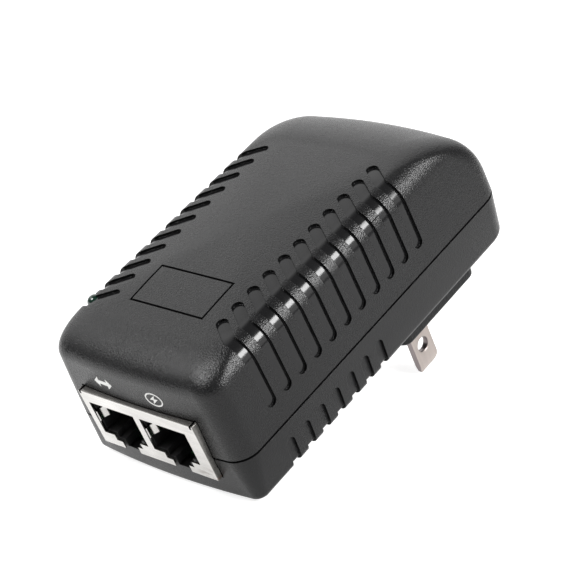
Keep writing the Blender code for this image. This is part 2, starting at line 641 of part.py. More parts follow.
def make_board_parts():
    make_transformer(-26.4)
    capacitor("input_capacitor_1", -13.6, -12.4, 5.0, 16.0, "cap_sleeve")
    capacitor("input_capacitor_2", -2.9, -12.4, 5.0, 16.0, "cap_sleeve")
    capacitor("output_capacitor_1", -10.2, -38.6, 4.0, 12.0, "cap_green")
    capacitor("output_capacitor_2", 10.2, -38.6, 4.0, 12.0, "cap_green")
    z = PARTS_Z
    # bridge rectifier, four-pin block
    Solids().prism(rounded_rect(3.4, 9.8, -15.6, -7.1, 0.5, 2), 'z', z, z + 3.2).make("bridge_rectifier", "epoxy_black")
    # radial fuse
    Solids().turned([(0, z), (4.2, z), (4.2, z + 7.0), (3.6, z + 7.7), (0, z + 7.7)], (-14.2, 4.6, 0), n=20) \
        .make("fuse", "fuse_brown", smooth=40)
    # interference choke: square ring core with two windings
    x0, x1, y0, y1 = 11.0, 18.6, -2.6, 8.2
    zc0 = z + 1.2
    core = Solids().box((x0 + 1.6, y0, zc0), (x1 - 1.6, y1, zc0 + 12.0)).make("choke_core", "ferrite")
    boolean(core, helper(Solids().box((x0 - 2, y0 + 2.6, zc0 + 2.6), (x1 + 2, y1 - 2.6, zc0 + 9.4)).make("choke_window")))
    for which, cyw in ((1, y0 + 1.3), (2, y1 - 1.3)):
        r_in, r_out = (2.55, 1.65), (3.65, 2.75)
        out = rounded_rect((x0 + x1) / 2 - r_out[0], (x0 + x1) / 2 + r_out[0], cyw - r_out[1] + 0.2, cyw + r_out[1] - 0.2, 1.2)
        inn = rounded_rect((x0 + x1) / 2 - r_in[0], (x0 + x1) / 2 + r_in[0], cyw - r_in[1], cyw + r_in[1], 0.3)
        n = len(out)
        za, zb = zc0 + 3.0, zc0 + 9.0
        v = [(x, y, za) for x, y in out] + [(x, y, zb) for x, y in out] + \
            [(x, y, zb) for x, y in inn] + [(x, y, za) for x, y in inn]
        f = []
        for k in range(4):
            a, b = k * n, ((k + 1) % 4) * n
            for i in range(n):
                j = (i + 1) % n
                f.append((a + i, a + j, b + j, b + i))
        Solids().add(v, f).make(f"choke_winding_{which}", "copper", smooth=30)
    # film capacitor across the mains
    Solids().prism(rounded_rect(-6.6, 6.6, 6.4, 12.0, 0.6, 2), 'z', z, z + 11.0).make("x_capacitor", "film_yellow")
    # disc capacitor bridging primary and secondary
    Solids().turned([(0, -1.7), (3.2, -1.7), (4.0, -1.0), (4.0, 1.0), (3.2, 1.7), (0, 1.7)],
                    (-14.6, -25.0, z + 4.6), (1, 0, 0), 18).make("y_capacitor", "disc_blue", smooth=40)
    # switching transistor bolted to its heatsink
    Solids().box((17.1, -22.0, z), (18.5, -7.0, z + 16.0)).make("heatsink", "aluminium")
    tr = Solids().box((12.6, -19.6, z + 4.0), (16.8, -9.4, z + 13.0)).make("switching_transistor", "epoxy_black")
    tabs = Solids().box((15.5, -19.4, z + 12.5), (16.8, -9.6, z + 17.5))
    boolean(tr, helper(tabs.make("transistor_tab")), 'UNION')
    # output rectifier lying between the smoothing capacitors
    Solids().turned([(0, -4.6), (2.6, -4.6), (2.65, -4.4), (2.65, 4.4), (2.6, 4.6), (0, 4.6)], (0.0, -38.4, z + 2.75),
                    (1, 0, 0), 16).make("output_diode", "epoxy_black", smooth=40)
    Solids().box((12.2, -30.0, z), (16.8, -25.2, z + 3.5)).make("optocoupler", "epoxy_black")
    Solids().box((-9.9, -5.6, z), (-6.0, -4.0, z + 1.4)).make("sense_resistor", "epoxy_black")
    Solids().box((10.8, -6.4, z), (15.8, -3.4, z + 1.6)).make("pwm_controller", "epoxy_black")
    for k, (x, y) in enumerate(POSTS):
        Solids().turned([(0, 8.2), (0.8, 8.2), (0.8, PARTS_Z), (2.0, PARTS_Z), (1.85, PARTS_Z + 0.9),
                         (1.0, PARTS_Z + 1.4), (0, PARTS_Z + 1.4)], (x, y, 0), n=12) \
            .make(f"pcb_screw_{k + 1}", "steel", smooth=30)


def make_led():
    ax = Vector(LED_AXIS).normalized()
    c = Vector(LED_AT)
    base, rise = -4.4, -1.1         # the dome just clears the shoulder
    prof = [(0, base), (1.5, base), (1.5, rise)]
    prof += [(1.5 * math.cos(a), rise + 1.5 * math.sin(a)) for a in (math.pi / 2 * k / 4 for k in range(1, 4))]
    prof += [(0, rise + 1.5)]
    Solids().turned(prof, c, ax, 16).make("status_led", "led_green", smooth=40)
    foot = c + ax * (-4.7)
    for s in (-1, 1):
        y = foot.y + s * 1.27
        Solids().wire([(-18.6, y, PARTS_Z), (-18.6, y, foot.z - 3.2), (foot.x + 0.15, y, foot.z - 0.45)], 0.25) \
            .make("led_lead_1" if s < 0 else "led_lead_2", "tinned")


make_top_cover()
make_bottom_housing()
make_plug_block()
make_blade("blade_left", -1)
make_blade("blade_right", 1)
make_jack_shield()
make_jack_housing()
make_contacts("lan_contact", PORT_X[0])
make_contacts("poe_contact", PORT_X[1])
make_pcb()
make_board_parts()
make_led()
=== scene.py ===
"""Looks for the wall-plug power-over-Ethernet injector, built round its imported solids.

The CAD frame: origin on the plug block's outer face between the blades, +Z up
through the case, +Y away from the sockets.  Shapes below are written in
millimetres and turned into metres by MM.
"""

import bpy
import bmesh
import json
import math
import numpy as np
from mathutils import Matrix, Vector
from mathutils.bvhtree import BVHTree


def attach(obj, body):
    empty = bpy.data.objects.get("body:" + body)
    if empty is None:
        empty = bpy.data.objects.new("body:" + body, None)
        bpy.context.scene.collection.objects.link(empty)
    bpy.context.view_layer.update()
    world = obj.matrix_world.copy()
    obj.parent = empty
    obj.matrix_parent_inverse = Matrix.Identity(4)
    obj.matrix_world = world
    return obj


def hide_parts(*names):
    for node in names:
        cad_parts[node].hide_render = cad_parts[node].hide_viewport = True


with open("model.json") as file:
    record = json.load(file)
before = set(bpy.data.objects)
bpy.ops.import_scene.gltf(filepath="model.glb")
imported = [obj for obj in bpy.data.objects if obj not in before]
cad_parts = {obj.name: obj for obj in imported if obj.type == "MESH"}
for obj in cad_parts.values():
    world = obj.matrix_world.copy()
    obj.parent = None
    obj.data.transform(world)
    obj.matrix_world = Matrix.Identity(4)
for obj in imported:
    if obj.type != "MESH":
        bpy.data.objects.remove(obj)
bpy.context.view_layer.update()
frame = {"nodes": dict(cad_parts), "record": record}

MM = 0.001
GAP = 0.3
SEAM = 0.46                 # open line between the shells

# ------------------------------------------------------------------ sizes
HALF_W, Y_FRONT, Y_BACK = 23.2, -62.85, 22.25
Z_SEAM, Z_BOTTOM, Z_TOP = 17.1, 6.75, 37.67
CROWN, CROWN_Y, WALL = 1.05, -24.0, 2.0
BOW_FRONT, BOW_BACK = 1.2, 2.2
CORNER_FRONT, CORNER_BACK = 4.8, 5.8
SIDE_ROLL, FRONT_ROLL, BACK_ROLL = (4.4, 5.3), (11.0, 4.9), (19.5, 14.9)
SIDE_DRAFT, FRONT_DRAFT, BACK_DRAFT = 3.0, 2.0, 0.6
LOW_DRAFT, LOW_FRONT_DRAFT, LOW_EDGE = 4.0, 1.0, 1.6
LIP_H, LIP_OFF = 1.2, 1.15
GROOVES, PITCH, GROOVE_W, GROOVE_D = 11, 4.57, 2.4, 0.55
FIRST_Y, TIP, SLANT, GROOVE_END_Z = -50.57, (14.55, 3.04), 35.0, 21.75
NOTCHES, NOTCH_TOP_Z, NOTCH_IN_X = 7, 13.45, 20.6
LABEL_X, LABEL_Y, LABEL_D = 9.85, (-48.0, -38.1), 0.45
BLADE_X, BLADE_W, BLADE_T, BLADE_LEN = 6.35, 6.1, 1.5, 17.7
HOLE_Z, HOLE_R, BLADE_TOP = -11.9, 1.55, 13.6
BLOCK_X, BLOCK_Y = 16.95, (-12.2, 12.2)
NECK_X, NECK_Y = 12.7, (-7.8, 9.6)
POSTS = [(-16.6, -37.4), (16.6, -37.4), (-15.4, 13.4), (15.4, 13.4)]
PCB_Z = (10.4, 12.0)
JACK_X, JACK_Y, JACK_Z, SHEET = (-15.7, 15.45), (-63.48, -42.6), (12.3, 25.86), 0.35
PORT_X, PORT_HALF, PORT_Z = (-7.85, 6.15), 6.15, (15.35, 23.2)
STEP1_X, STEP1_Z, STEP2_X = (3.4, 3.9), 14.0, (1.85, 2.5)
LED_AT, LED_AXIS = (-20.36, -49.2, 35.66), (-0.645, -0.05, 0.764)


def tan(d):
    return math.tan(math.radians(d))


# ------------------------------------------------------------------ meshes
class Solids:
    """Closed solids collected for one mesh, in millimetres."""

    def __init__(self):
        self.v, self.f = [], []

    def add(self, verts, faces):
        n = len(self.v)
        self.v += [tuple(p) for p in verts]
        self.f += [tuple(i + n for i in q) for q in faces]
        return self

    def box(self, lo, hi):
        x0, y0, z0 = lo
        x1, y1, z1 = hi
        v = [(x0, y0, z0), (x1, y0, z0), (x1, y1, z0), (x0, y1, z0),
             (x0, y0, z1), (x1, y0, z1), (x1, y1, z1), (x0, y1, z1)]
        return self.add(v, [(0, 3, 2, 1), (4, 5, 6, 7), (0, 1, 5, 4), (1, 2, 6, 5), (2, 3, 7, 6), (3, 0, 4, 7)])

    def prism(self, pts, axis, a, b):
        n = len(pts)
        put = {'x': lambda p, t: (t, p[0], p[1]), 'y': lambda p, t: (p[0], t, p[1]),
               'z': lambda p, t: (p[0], p[1], t)}[axis]
        v = [put(p, a) for p in pts] + [put(p, b) for p in pts]
        f = [tuple(range(n - 1, -1, -1)), tuple(range(n, 2 * n))]
        f += [(i, (i + 1) % n, n + (i + 1) % n, n + i) for i in range(n)]
        return self.add(v, f)

    def turned(self, profile, centre, axis=(0, 0, 1), n=32):
        ax = Vector(axis).normalized()
        u = ax.orthogonal().normalized()
        w = ax.cross(u)
        c = Vector(centre)
        v, rows = [], []
        for r, h in profile:
            if r < 1e-6:
                rows.append([len(v)])
                v.append(tuple(c + ax * h))
            else:
                rows.append(list(range(len(v), len(v) + n)))
                for i in range(n):
                    t = 2 * math.pi * i / n
                    v.append(tuple(c + ax * h + (u * math.cos(t) + w * math.sin(t)) * r))
        f = []
        for a, b in zip(rows, rows[1:]):
            for i in range(n):
                j = (i + 1) % n
                if len(a) == 1:
                    f.append((a[0], b[j], b[i]))
                elif len(b) == 1:
                    f.append((a[i], a[j], b[0]))
                else:
                    f.append((a[i], a[j], b[j], b[i]))
        return self.add(v, f)

    def loft(self, rings, first, last):
        n = len(rings[0])
        v = [first] + [p for r in rings for p in r] + [last]
        f = []
        e = 1 + (len(rings) - 1) * n
        for i in range(n):
            j = (i + 1) % n
            f.append((0, 1 + j, 1 + i))
            f.append((e + i, e + j, len(v) - 1))
            for k in range(len(rings) - 1):
                a = 1 + k * n
                f.append((a + i, a + j, a + n + j, a + n + i))
        return self.add(v, f)

    def make(self, name, smooth=None):
        me = bpy.data.meshes.new(name)
        me.from_pydata([Vector(v) * MM for v in self.v], [], self.f)
        me.validate()
        bm = bmesh.new()
        bm.from_mesh(me)
        bmesh.ops.recalc_face_normals(bm, faces=bm.faces)
        bm.to_mesh(me)
        bm.free()
        if smooth is not None:
            me.shade_smooth()
            me.set_sharp_from_angle(angle=math.radians(smooth))
        ob = bpy.data.objects.new(name, me)
        bpy.context.scene.collection.objects.link(ob)
        return ob


HELPERS = []


def helper(ob):
    HELPERS.append(ob)
    return ob


def boolean(ob, other, op='DIFFERENCE'):
    m = ob.modifiers.new(op.title(), 'BOOLEAN')
    m.operation, m.solver, m.object = op, 'EXACT', other


def bevel(ob, width, segments=3, angle=40):
    m = ob.modifiers.new("Edges", 'BEVEL')
    m.width, m.segments, m.limit_method = width * MM, segments, 'ANGLE'
    m.angle_limit = math.radians(angle)
    m.harden_normals = False
    m.use_clamp_overlap = True
    m.miter_outer = 'MITER_ARC'


def baked(ob, smooth=None):
    """Applies the modifiers into a fresh mesh."""
    dg = bpy.context.evaluated_depsgraph_get()
    dg.update()
    me = bpy.data.meshes.new_from_object(ob.evaluated_get(dg))
    ob.modifiers.clear()
    ob.data = me
    if smooth is not None:
        me.shade_smooth()
        me.set_sharp_from_angle(angle=math.radians(smooth))
    return ob


def clear_helpers():
    for ob in HELPERS:
        bpy.data.objects.remove(ob, do_unlink=True)
    HELPERS.clear()


# ------------------------------------------------------------------ case surfaces
NC, NE = 20, 24


def outline(hw, yf, yb, rf, rb):
    rf, rb = max(rf, 0.4), max(rb, 0.4)

    def corner(r, y_end, bow, s):
        xe = hw - r
        ye = y_end - s * bow * (xe / HALF_W) ** 2
        return [(xe + r * math.cos(a), ye - s * r + s * r * math.sin(a))
                for a in (math.pi / 2 * k / NC for k in range(NC + 1))]

    def end(r, y_end, bow, s):
        xe = hw - r
        return [(xe * t, y_end - s * bow * (xe * t / HALF_W) ** 2)
                for t in (1 - 2 * k / NE for k in range(1, NE))]

    cb, cf = corner(rb, yb, BOW_BACK, 1), corner(rf, yf, BOW_FRONT, -1)
    back, front = end(rb, yb, BOW_BACK, 1), end(rf, yf, BOW_FRONT, -1)
    return (cb + back + [(-x, y) for x, y in reversed(cb)] +
            [(-x, y) for x, y in cf] + list(reversed(front)) + list(reversed(cf)))


def roll(radii, off, z):
    rh, rv = max(radii[0] - off, 0.3), max(radii[1] - off, 0.3)
    zc = Z_TOP - CROWN - radii[1]
    u = min(max((z - zc) / rv, 0.0), 1.0)
    return rh * (1 - math.sqrt(1 - u * u))


def upper_ring(z, off):
    d = z - Z_SEAM
    k = min(max(d / (Z_TOP - Z_SEAM), 0.0), 1.0)
    pts = outline(HALF_W - off - d * tan(SIDE_DRAFT) - roll(SIDE_ROLL, off, z),
                  Y_FRONT + off + d * tan(FRONT_DRAFT) + roll(FRONT_ROLL, off, z),
                  Y_BACK - off - d * tan(BACK_DRAFT) - roll(BACK_ROLL, off, z),
                  CORNER_FRONT - off + 0.8 * k * k, CORNER_BACK - off + 1.0 * k * k)
    return [(x, y, z) for x, y in pts]


def drops():
    """Heights below the shoulder's top edge, close together where it curves."""
    a = [5.3 * (1 - math.cos(math.pi / 2 * k / 18)) for k in range(19)]
    b = [14.9 * (1 - math.cos(math.pi / 2 * k / 20)) for k in range(21)]
    out = []
    for d in sorted(a + b):
        if not out or d - out[-1] > 0.018:
            out.append(d)
    return out


CROWN_STEPS = [0.97, 0.93, 0.86, 0.77, 0.66, 0.54, 0.42, 0.3, 0.18, 0.08]


def upper_surface(off, z_low, coarse=False):
    zt = Z_TOP - CROWN - off
    ds = drops()[::4] + [14.9] if coarse else drops()
    levels = [zt - d * (14.9 - off) / 14.9 for d in ds]
    levels = [z for z in levels if z > z_low + 0.2] + [z_low]
    edge = upper_ring(zt, off)
    rings = []
    for s in reversed([0.6] if coarse else CROWN_STEPS):
        rings.append([(x * s, CROWN_Y + (y - CROWN_Y) * s, zt + CROWN * (1 - s * s)) for x, y, _ in edge])
    rings += [upper_ring(z, off) for z in levels]
    return rings, (0, CROWN_Y, zt + CROWN)


def lower_ring(z, off):
    d = Z_SEAM - z
    r = max(LOW_EDGE - off, 0.25)
    zc = Z_BOTTOM + off + r
    u = min(max((zc - z) / r, 0.0), 1.0)
    e = r * (1 - math.sqrt(1 - u * u))
    pts = outline(HALF_W - off - d * tan(LOW_DRAFT) - e,
                  Y_FRONT + off + d * tan(LOW_FRONT_DRAFT) + e,
                  Y_BACK - off - d * tan(LOW_DRAFT) - e,
                  CORNER_FRONT - off - 0.27 * max(d, 0.0), CORNER_BACK - off)
    return [(x, y, z) for x, y in pts]


def lower_levels(off, z_high, n=10):
    zb = Z_BOTTOM + off
    r = max(LOW_EDGE - off, 0.25)
    return [z_high] + [zb + r * (1 - math.sin(math.pi / 2 * k / n)) for k in range(n + 1)]


def slope(a, b, c):
    """Tangent at b of the curve through three rows of points, however unevenly spaced."""
    h1 = np.linalg.norm(b - a, axis=-1, keepdims=True)
    h2 = np.linalg.norm(c - b, axis=-1, keepdims=True)
    h1, h2 = np.maximum(h1, 1e-7), np.maximum(h2, 1e-7)
    return ((c - b) * h1 / h2 + (b - a) * h2 / h1) / (h1 + h2)


class Skin:
    """A smooth reference surface that gives exact normals."""

    def __init__(self, rings, pole):
        rows = np.array(rings, float)
        n = rows.shape[1]
        v = np.concatenate([[pole], rows.reshape(-1, 3)])
        t = []
        for i in range(n):
            j = (i + 1) % n
            t.append((0, 1 + i, 1 + j))
            for k in range(len(rings) - 1):
                a = 1 + k * n
                t.append((a + i, a + n + i, a + n + j))
                t.append((a + i, a + n + j, a + j))
        t = np.array(t)
        before = np.concatenate([np.broadcast_to(np.array(pole, float), (1, n, 3)), rows[:-1]])
        after = np.concatenate([rows[1:], 2 * rows[-1:] - rows[-2:-1]])
        down = slope(before, rows, after)
        round_ = slope(np.roll(rows, 1, axis=1), rows, np.roll(rows, -1, axis=1))
        vn = np.cross(down, round_).reshape(-1, 3)
        vn = np.concatenate([[(0, 0, 0)], vn])
        vn /= np.maximum(np.linalg.norm(vn, axis=1), 1e-12)[:, None]
        c = v.mean(0)
        if ((v - c) * vn).sum() < 0:
            vn = -vn
        vn[0] = (0, 0, np.sign(v[0][2] - c[2]))
        self.v, self.t, self.vn = v, t, vn
        self.tree = BVHTree.FromPolygons([tuple(p) for p in v], [tuple(x) for x in t.tolist()])

    def at(self, p):
        loc, _, i, dist = self.tree.find_nearest(p)
        a, b, c = (self.v[k] for k in self.t[i])
        q = np.array(loc)
        v0, v1, v2 = b - a, c - a, q - a
        d00, d01, d11, d20, d21 = v0 @ v0, v0 @ v1, v1 @ v1, v2 @ v0, v2 @ v1
        den = d00 * d11 - d01 * d01
        if den < 1e-14:
            w = np.array([1 / 3] * 3)
        else:
            y, z = (d11 * d20 - d01 * d21) / den, (d00 * d21 - d01 * d20) / den
            w = np.clip([1 - y - z, y, z], 0, 1)
        n = (self.vn[self.t[i]] * w[:, None]).sum(0)
        return dist, n / max(np.linalg.norm(n), 1e-12)


def true_normals(ob, skins, rest=0, tol=0.035):
    """Gives every face corner the normal of the smooth surface it lies on.

    skins is a list of (Skin, material index); cut walls take material rest
    and keep their own normals, smoothed round their arcs.
    """
    me = ob.data
    n_poly = len(me.polygons)
    kind = np.full(n_poly, -1)
    for p in me.polygons:
        c, n = Vector(p.center) / MM, np.array(p.normal)
        for k, (skin, mat) in enumerate(skins):
            dist, sn = skin.at(c)
            if dist < tol and abs(float(n @ sn)) > 0.9 and float(n @ sn) > 0:
                kind[p.index] = k
                p.material_index = mat
                break
        if kind[p.index] < 0:
            p.material_index = rest
    around = {}
    for p in me.polygons:
        if kind[p.index] < 0:
            for v in p.vertices:
                around.setdefault(v, []).append(p.index)
    pn = np.array([p.normal for p in me.polygons])
    pa = np.array([p.area for p in me.polygons])
    cache = {}
    normals = [None] * len(me.loops)
    for p in me.polygons:
        for li in p.loop_indices:
            v = me.loops[li].vertex_index
            k = kind[p.index]
            if k >= 0:
                key = (k, v)
                if key not in cache:
                    cache[key] = skins[k][0].at(me.vertices[v].co / MM)[1]
                normals[li] = tuple(cache[key])
            else:
                n = pn[p.index]
                acc = np.zeros(3)
                for q in around[v]:
                    if pn[q] @ n > 0.8:
                        acc += pn[q] * pa[q]
                acc = acc if acc @ acc > 0 else n
                normals[li] = tuple(acc / np.linalg.norm(acc))
    me.shade_smooth()
    me.normals_split_custom_set(normals)
    return kind


# ------------------------------------------------------------------ cutters
def stadium_half(cy, cz, r, z_far, n=16):
    s = 1 if z_far > cz else -1
    arc = [(cy - r * math.cos(math.pi * k / n), cz - s * r * math.sin(math.pi * k / n)) for k in range(n + 1)]
    return arc + [(cy + r, z_far), (cy - r, z_far)]


def groove_top(y_side, sx, n=16):
    h = GROOVE_W / 2
    a = math.radians(SLANT)
    tx, ty = TIP[0], y_side + TIP[1]
    kx = tx + TIP[1] / math.tan(a)
    m = h * math.tan(a / 2)
    d, nrm = (math.cos(a), -math.sin(a)), (math.sin(a), math.cos(a))
    tip = []
    for k in range(n + 1):
        c, s = math.cos(math.pi * k / n), math.sin(math.pi * k / n)
        tip.append((tx + h * (nrm[0] * c - d[0] * s), ty + h * (nrm[1] * c - d[1] * s)))
    pts = tip + [(kx - m, y_side - h), (kx + 0.6, y_side - h), (kx + 0.6, y_side + h), (kx + m, y_side + h)]
    return [(sx * x, y) for x, y in pts]


def rounded_rect(x0, x1, y0, y1, r, n=10):
    pts = []
    for cx, cy, a0 in ((x1 - r, y1 - r, 0), (x0 + r, y1 - r, 90), (x0 + r, y0 + r, 180), (x1 - r, y0 + r, 270)):
        for k in range(n + 1):
            a = math.radians(a0 + 90 * k / n)
            pts.append((cx + r * math.cos(a), cy + r * math.sin(a)))
    return pts


# ------------------------------------------------------------------ materials
def tree(name):
    m = bpy.data.materials.new(name)
    m.use_nodes = True
    nt = m.node_tree
    return m, nt, nt.nodes["Principled BSDF"]


class Graph:
    """Short names for the node calls every material here uses."""

    def __init__(self, nt):
        self.nt = nt
        self.tc = nt.nodes.new('ShaderNodeTexCoord')

    def node(self, kind, **inputs):
        nd = self.nt.nodes.new(kind)
        for k, v in inputs.items():
            key = k.replace('_', ' ')
            if hasattr(nd, k) and key not in nd.inputs:
                setattr(nd, k, v)
            elif isinstance(v, bpy.types.NodeSocket):
                self.nt.links.new(v, nd.inputs[key])
            else:
                nd.inputs[key].default_value = v
        return nd

    def link(self, a, b):
        self.nt.links.new(a, b)

    def coords(self, scale=(1, 1, 1)):
        mp = self.nt.nodes.new('ShaderNodeMapping')
        self.link(self.tc.outputs['Object'], mp.inputs['Vector'])
        mp.inputs['Scale'].default_value = scale
        return mp.outputs['Vector']

    def noise(self, scale, detail=2.0, rough=0.5, vec=None):
        nd = self.node('ShaderNodeTexNoise', Scale=scale, Detail=detail, Roughness=rough)
        self.link(vec or self.tc.outputs['Object'], nd.inputs['Vector'])
        return nd.outputs['Fac']

    def voronoi(self, scale, vec=None):
        nd = self.node('ShaderNodeTexVoronoi', Scale=scale)
        self.link(vec or self.tc.outputs['Object'], nd.inputs['Vector'])
        return nd.outputs['Distance']

    def ramp(self, fac, lo, hi, to_lo, to_hi):
        nd = self.nt.nodes.new('ShaderNodeMapRange')
        self.link(fac, nd.inputs['Value'])
        for k, v in (('From Min', lo), ('From Max', hi), ('To Min', to_lo), ('To Max', to_hi)):
            nd.inputs[k].default_value = v
        return nd.outputs['Result']

    def mix(self, fac, a, b):
        nd = self.nt.nodes.new('ShaderNodeMix')
        nd.data_type = 'RGBA'
        ins = [s for s in nd.inputs if s.enabled]
        for s, v in zip(ins, (fac, a, b)):
            if isinstance(v, bpy.types.NodeSocket):
                self.link(v, s)
            else:
                s.default_value = (*v, 1.0) if hasattr(v, '__len__') and len(v) == 3 else v
        return [s for s in nd.outputs if s.enabled][0]

    def math(self, op, a, b=None):
        nd = self.nt.nodes.new('ShaderNodeMath')
        nd.operation = op
        for s, v in zip(nd.inputs, (a, b)):
            if v is None:
                continue
            if isinstance(v, bpy.types.NodeSocket):
                self.link(v, s)
            else:
                s.default_value = v
        return nd.outputs[0]

    def edges(self, radius, samples=4):
        """(softened normal, mask that is 1 on worn edges)"""
        bv = self.node('ShaderNodeBevel', Radius=radius)
        bv.samples = samples
        geo = self.nt.nodes.new('ShaderNodeNewGeometry')
        dot = self.nt.nodes.new('ShaderNodeVectorMath')
        dot.operation = 'DOT_PRODUCT'
        self.link(bv.outputs['Normal'], dot.inputs[0])
        self.link(geo.outputs['Normal'], dot.inputs[1])
        return bv.outputs['Normal'], self.ramp(dot.outputs['Value'], 0.995, 0.80, 0.0, 1.0)

    def bump(self, height, distance, strength=1.0, normal=None):
        nd = self.node('ShaderNodeBump', Strength=strength, Distance=distance)
        self.link(height, nd.inputs['Height'])
        if normal is not None:
            self.link(normal, nd.inputs['Normal'])
        return nd.outputs['Normal']


def tint(c, k):
    return tuple(min(1.0, x * k) for x in c)


def moulded(name, base, rough, grain=0.30, relief=0.010, wear=0.25, spread=0.05, soft=0.12, spec=0.5, mottle=0.10,
             rim=None, calm=None):
    """Moulded plastic: fine eroded texture, slight unevenness, softened and lighter edges.

    rim is a pair of heights in metres: below them an edge that doesn't face down gets a painted highlight, a pale base
    colour, together with a glossier, smoother finish;
    calm is (y, y, level): the gloss falls to that level at the first Y, toward the front.
    """
    m, nt, b = tree(name)
    g = Graph(nt)
    big = g.noise(70.0, 3.0)
    fine = g.noise(1000.0 / grain, 2.0, 0.55)
    pits = g.voronoi(1000.0 / (grain * 1.25))
    col = g.mix(g.ramp(big, 0.3, 0.7, 0.0, 1.0), tint(base, 1 - mottle), tint(base, 1 + mottle))
    col = g.mix(g.ramp(fine, 0.42, 0.62, 0.0, 0.25), col, tint(base, 1.3))
    soft_n, mask = g.edges(soft * MM)
    rub = g.math('MULTIPLY', mask, g.ramp(g.noise(320.0, 3.0), 0.35, 0.65, 0.15 * wear, wear))
    col = g.mix(rub, col, tint(base, 2.6))
    g.link(col, b.inputs['Base Color'])
    rr = g.ramp(g.math('ADD', g.math('MULTIPLY', big, 0.5), g.math('MULTIPLY', fine, 0.5)), 0.35, 0.65,
                rough - spread, rough + spread)
    b.inputs['Specular IOR Level'].default_value = spec
    gloss = spec
    if calm:
        along_y = nt.nodes.new('ShaderNodeSeparateXYZ')
        g.link(g.tc.outputs['Object'], along_y.inputs[0])
        gloss = g.ramp(along_y.outputs['Y'], calm[0], calm[1], calm[2], spec)
        g.link(gloss, b.inputs['Specular IOR Level'])
    h = g.math('ADD', fine, g.math('MULTIPLY', pits, 0.6))
    # painted highlight: below the rim heights the edge's base colour is lifted to pale grey to stand in for a glint of
    # light; the raised gloss and lower roughness there are finish
    if rim:
        split = nt.nodes.new('ShaderNodeSeparateXYZ')
        g.link(g.tc.outputs['Object'], split.inputs[0])
        low = g.ramp(split.outputs['Z'], rim[0], rim[1], 0.0, 1.0)
        geo = nt.nodes.new('ShaderNodeNewGeometry')
        facing = nt.nodes.new('ShaderNodeSeparateXYZ')
        g.link(geo.outputs['Normal'], facing.inputs[0])
        low = g.math('MULTIPLY', low, g.ramp(facing.outputs['Z'], -0.80, -0.55, 0.0, 1.0))
        g.link(g.mix(low, col, (0.45, 0.45, 0.45)), b.inputs['Base Color'])
        rr = g.math('MULTIPLY', rr, g.ramp(low, 0.0, 1.0, 1.0, 0.40))
        g.link(g.math('MAXIMUM', low, gloss), b.inputs['Specular IOR Level'])
        h = g.math('MULTIPLY', h, g.ramp(low, 0.0, 1.0, 1.0, 0.25))
    g.link(rr, b.inputs['Roughness'])
    g.link(g.bump(h, relief * MM, 1.0, soft_n), b.inputs['Normal'])
    return m


def plated(name, base, rough, brush=(1, 1, 1), relief=0.002, tone=0.08, soft=0.12, scale=900.0, face=None,
           side=(1, 1, 1), stain=None, skip=None):
    """Plated or rolled metal: fine drawn lines, faint smears, bright edges.

    face is the axis the rolled faces look along and side the tint of painted
    shade laid on the sheared edges, folds and hole walls turned across it; stain is (centre, radius, tint) in metres;
    inside the X span of skip, below the top fold, the metal is left without the painted shade.
    """
    m, nt, b = tree(name)
    g = Graph(nt)
    big = g.noise(110.0, 3.0)
    lines = g.noise(scale, 3.0, 0.6, g.coords(brush))
    col = g.mix(g.ramp(big, 0.3, 0.7, 0.0, 1.0), tint(base, 1 - tone), tint(base, 1 + tone * 0.5))
    col = g.mix(g.ramp(lines, 0.35, 0.7, 0.0, 0.6), col, tint(base, 0.80))
    # painted shade: faces turned away from the face axis (folds, cut edges, tip facets, hole walls) take a darker copy
    # of the metal colour, scaled by side
    if face:
        geo = nt.nodes.new('ShaderNodeNewGeometry')
        dot = nt.nodes.new('ShaderNodeVectorMath')
        dot.operation = 'DOT_PRODUCT'
        dot.inputs[1].default_value = face
        g.link(geo.outputs['Normal'], dot.inputs[0])
        turned = g.ramp(g.math('ABSOLUTE', dot.outputs['Value']), 0.45, 0.80, 1.0, 0.0)
        if skip:
            at = nt.nodes.new('ShaderNodeSeparateXYZ')
            g.link(g.tc.outputs['Object'], at.inputs[0])
            inner = g.math('ABSOLUTE', g.math('SUBTRACT', at.outputs['X'], (skip[0] + skip[1]) / 2))
            turned = g.math('MULTIPLY', turned, g.math('MAXIMUM', g.ramp(inner, (skip[1] - skip[0]) / 2 - 0.0006,
                                                                        (skip[1] - skip[0]) / 2 - 0.0003, 0.0, 1.0),
                                                       g.ramp(at.outputs['Z'], 0.0245, 0.0252, 0.0, 1.0)))
        shaded_metal = g.mix(g.ramp(lines, 0.35, 0.7, 0.0, 1.0), tuple(x * y * 1.15 for x, y in zip(base, side)),
                     tuple(x * y * 0.8 for x, y in zip(base, side)))
        col = g.mix(turned, col, shaded_metal)
    if stain:
        centre, radius, brown = stain
        far = nt.nodes.new('ShaderNodeVectorMath')
        far.operation = 'DISTANCE'
        far.inputs[1].default_value = centre
        g.link(g.tc.outputs['Object'], far.inputs[0])
        streak = g.noise(700.0, 3.0, 0.6, g.coords((0.5, 1, 1.6)))
        spot = g.math('MULTIPLY', g.ramp(far.outputs['Value'], radius * 0.35, radius, 1.0, 0.0),
                      g.ramp(streak, 0.44, 0.60, 0.0, 1.0))
        col = g.mix(spot, col, tuple(x * y for x, y in zip(base, brown)))
    g.link(col, b.inputs['Base Color'])
    g.link(g.ramp(g.math('ADD', g.math('MULTIPLY', big, 0.45), g.math('MULTIPLY', lines, 0.55)), 0.3, 0.7,
                  rough * 0.8, rough * 1.25), b.inputs['Roughness'])
    soft_n, _ = g.edges(soft * MM)
    g.link(g.bump(lines, relief * MM, 1.0, soft_n), b.inputs['Normal'])
    b.inputs['Metallic'].default_value = 1.0
    return m


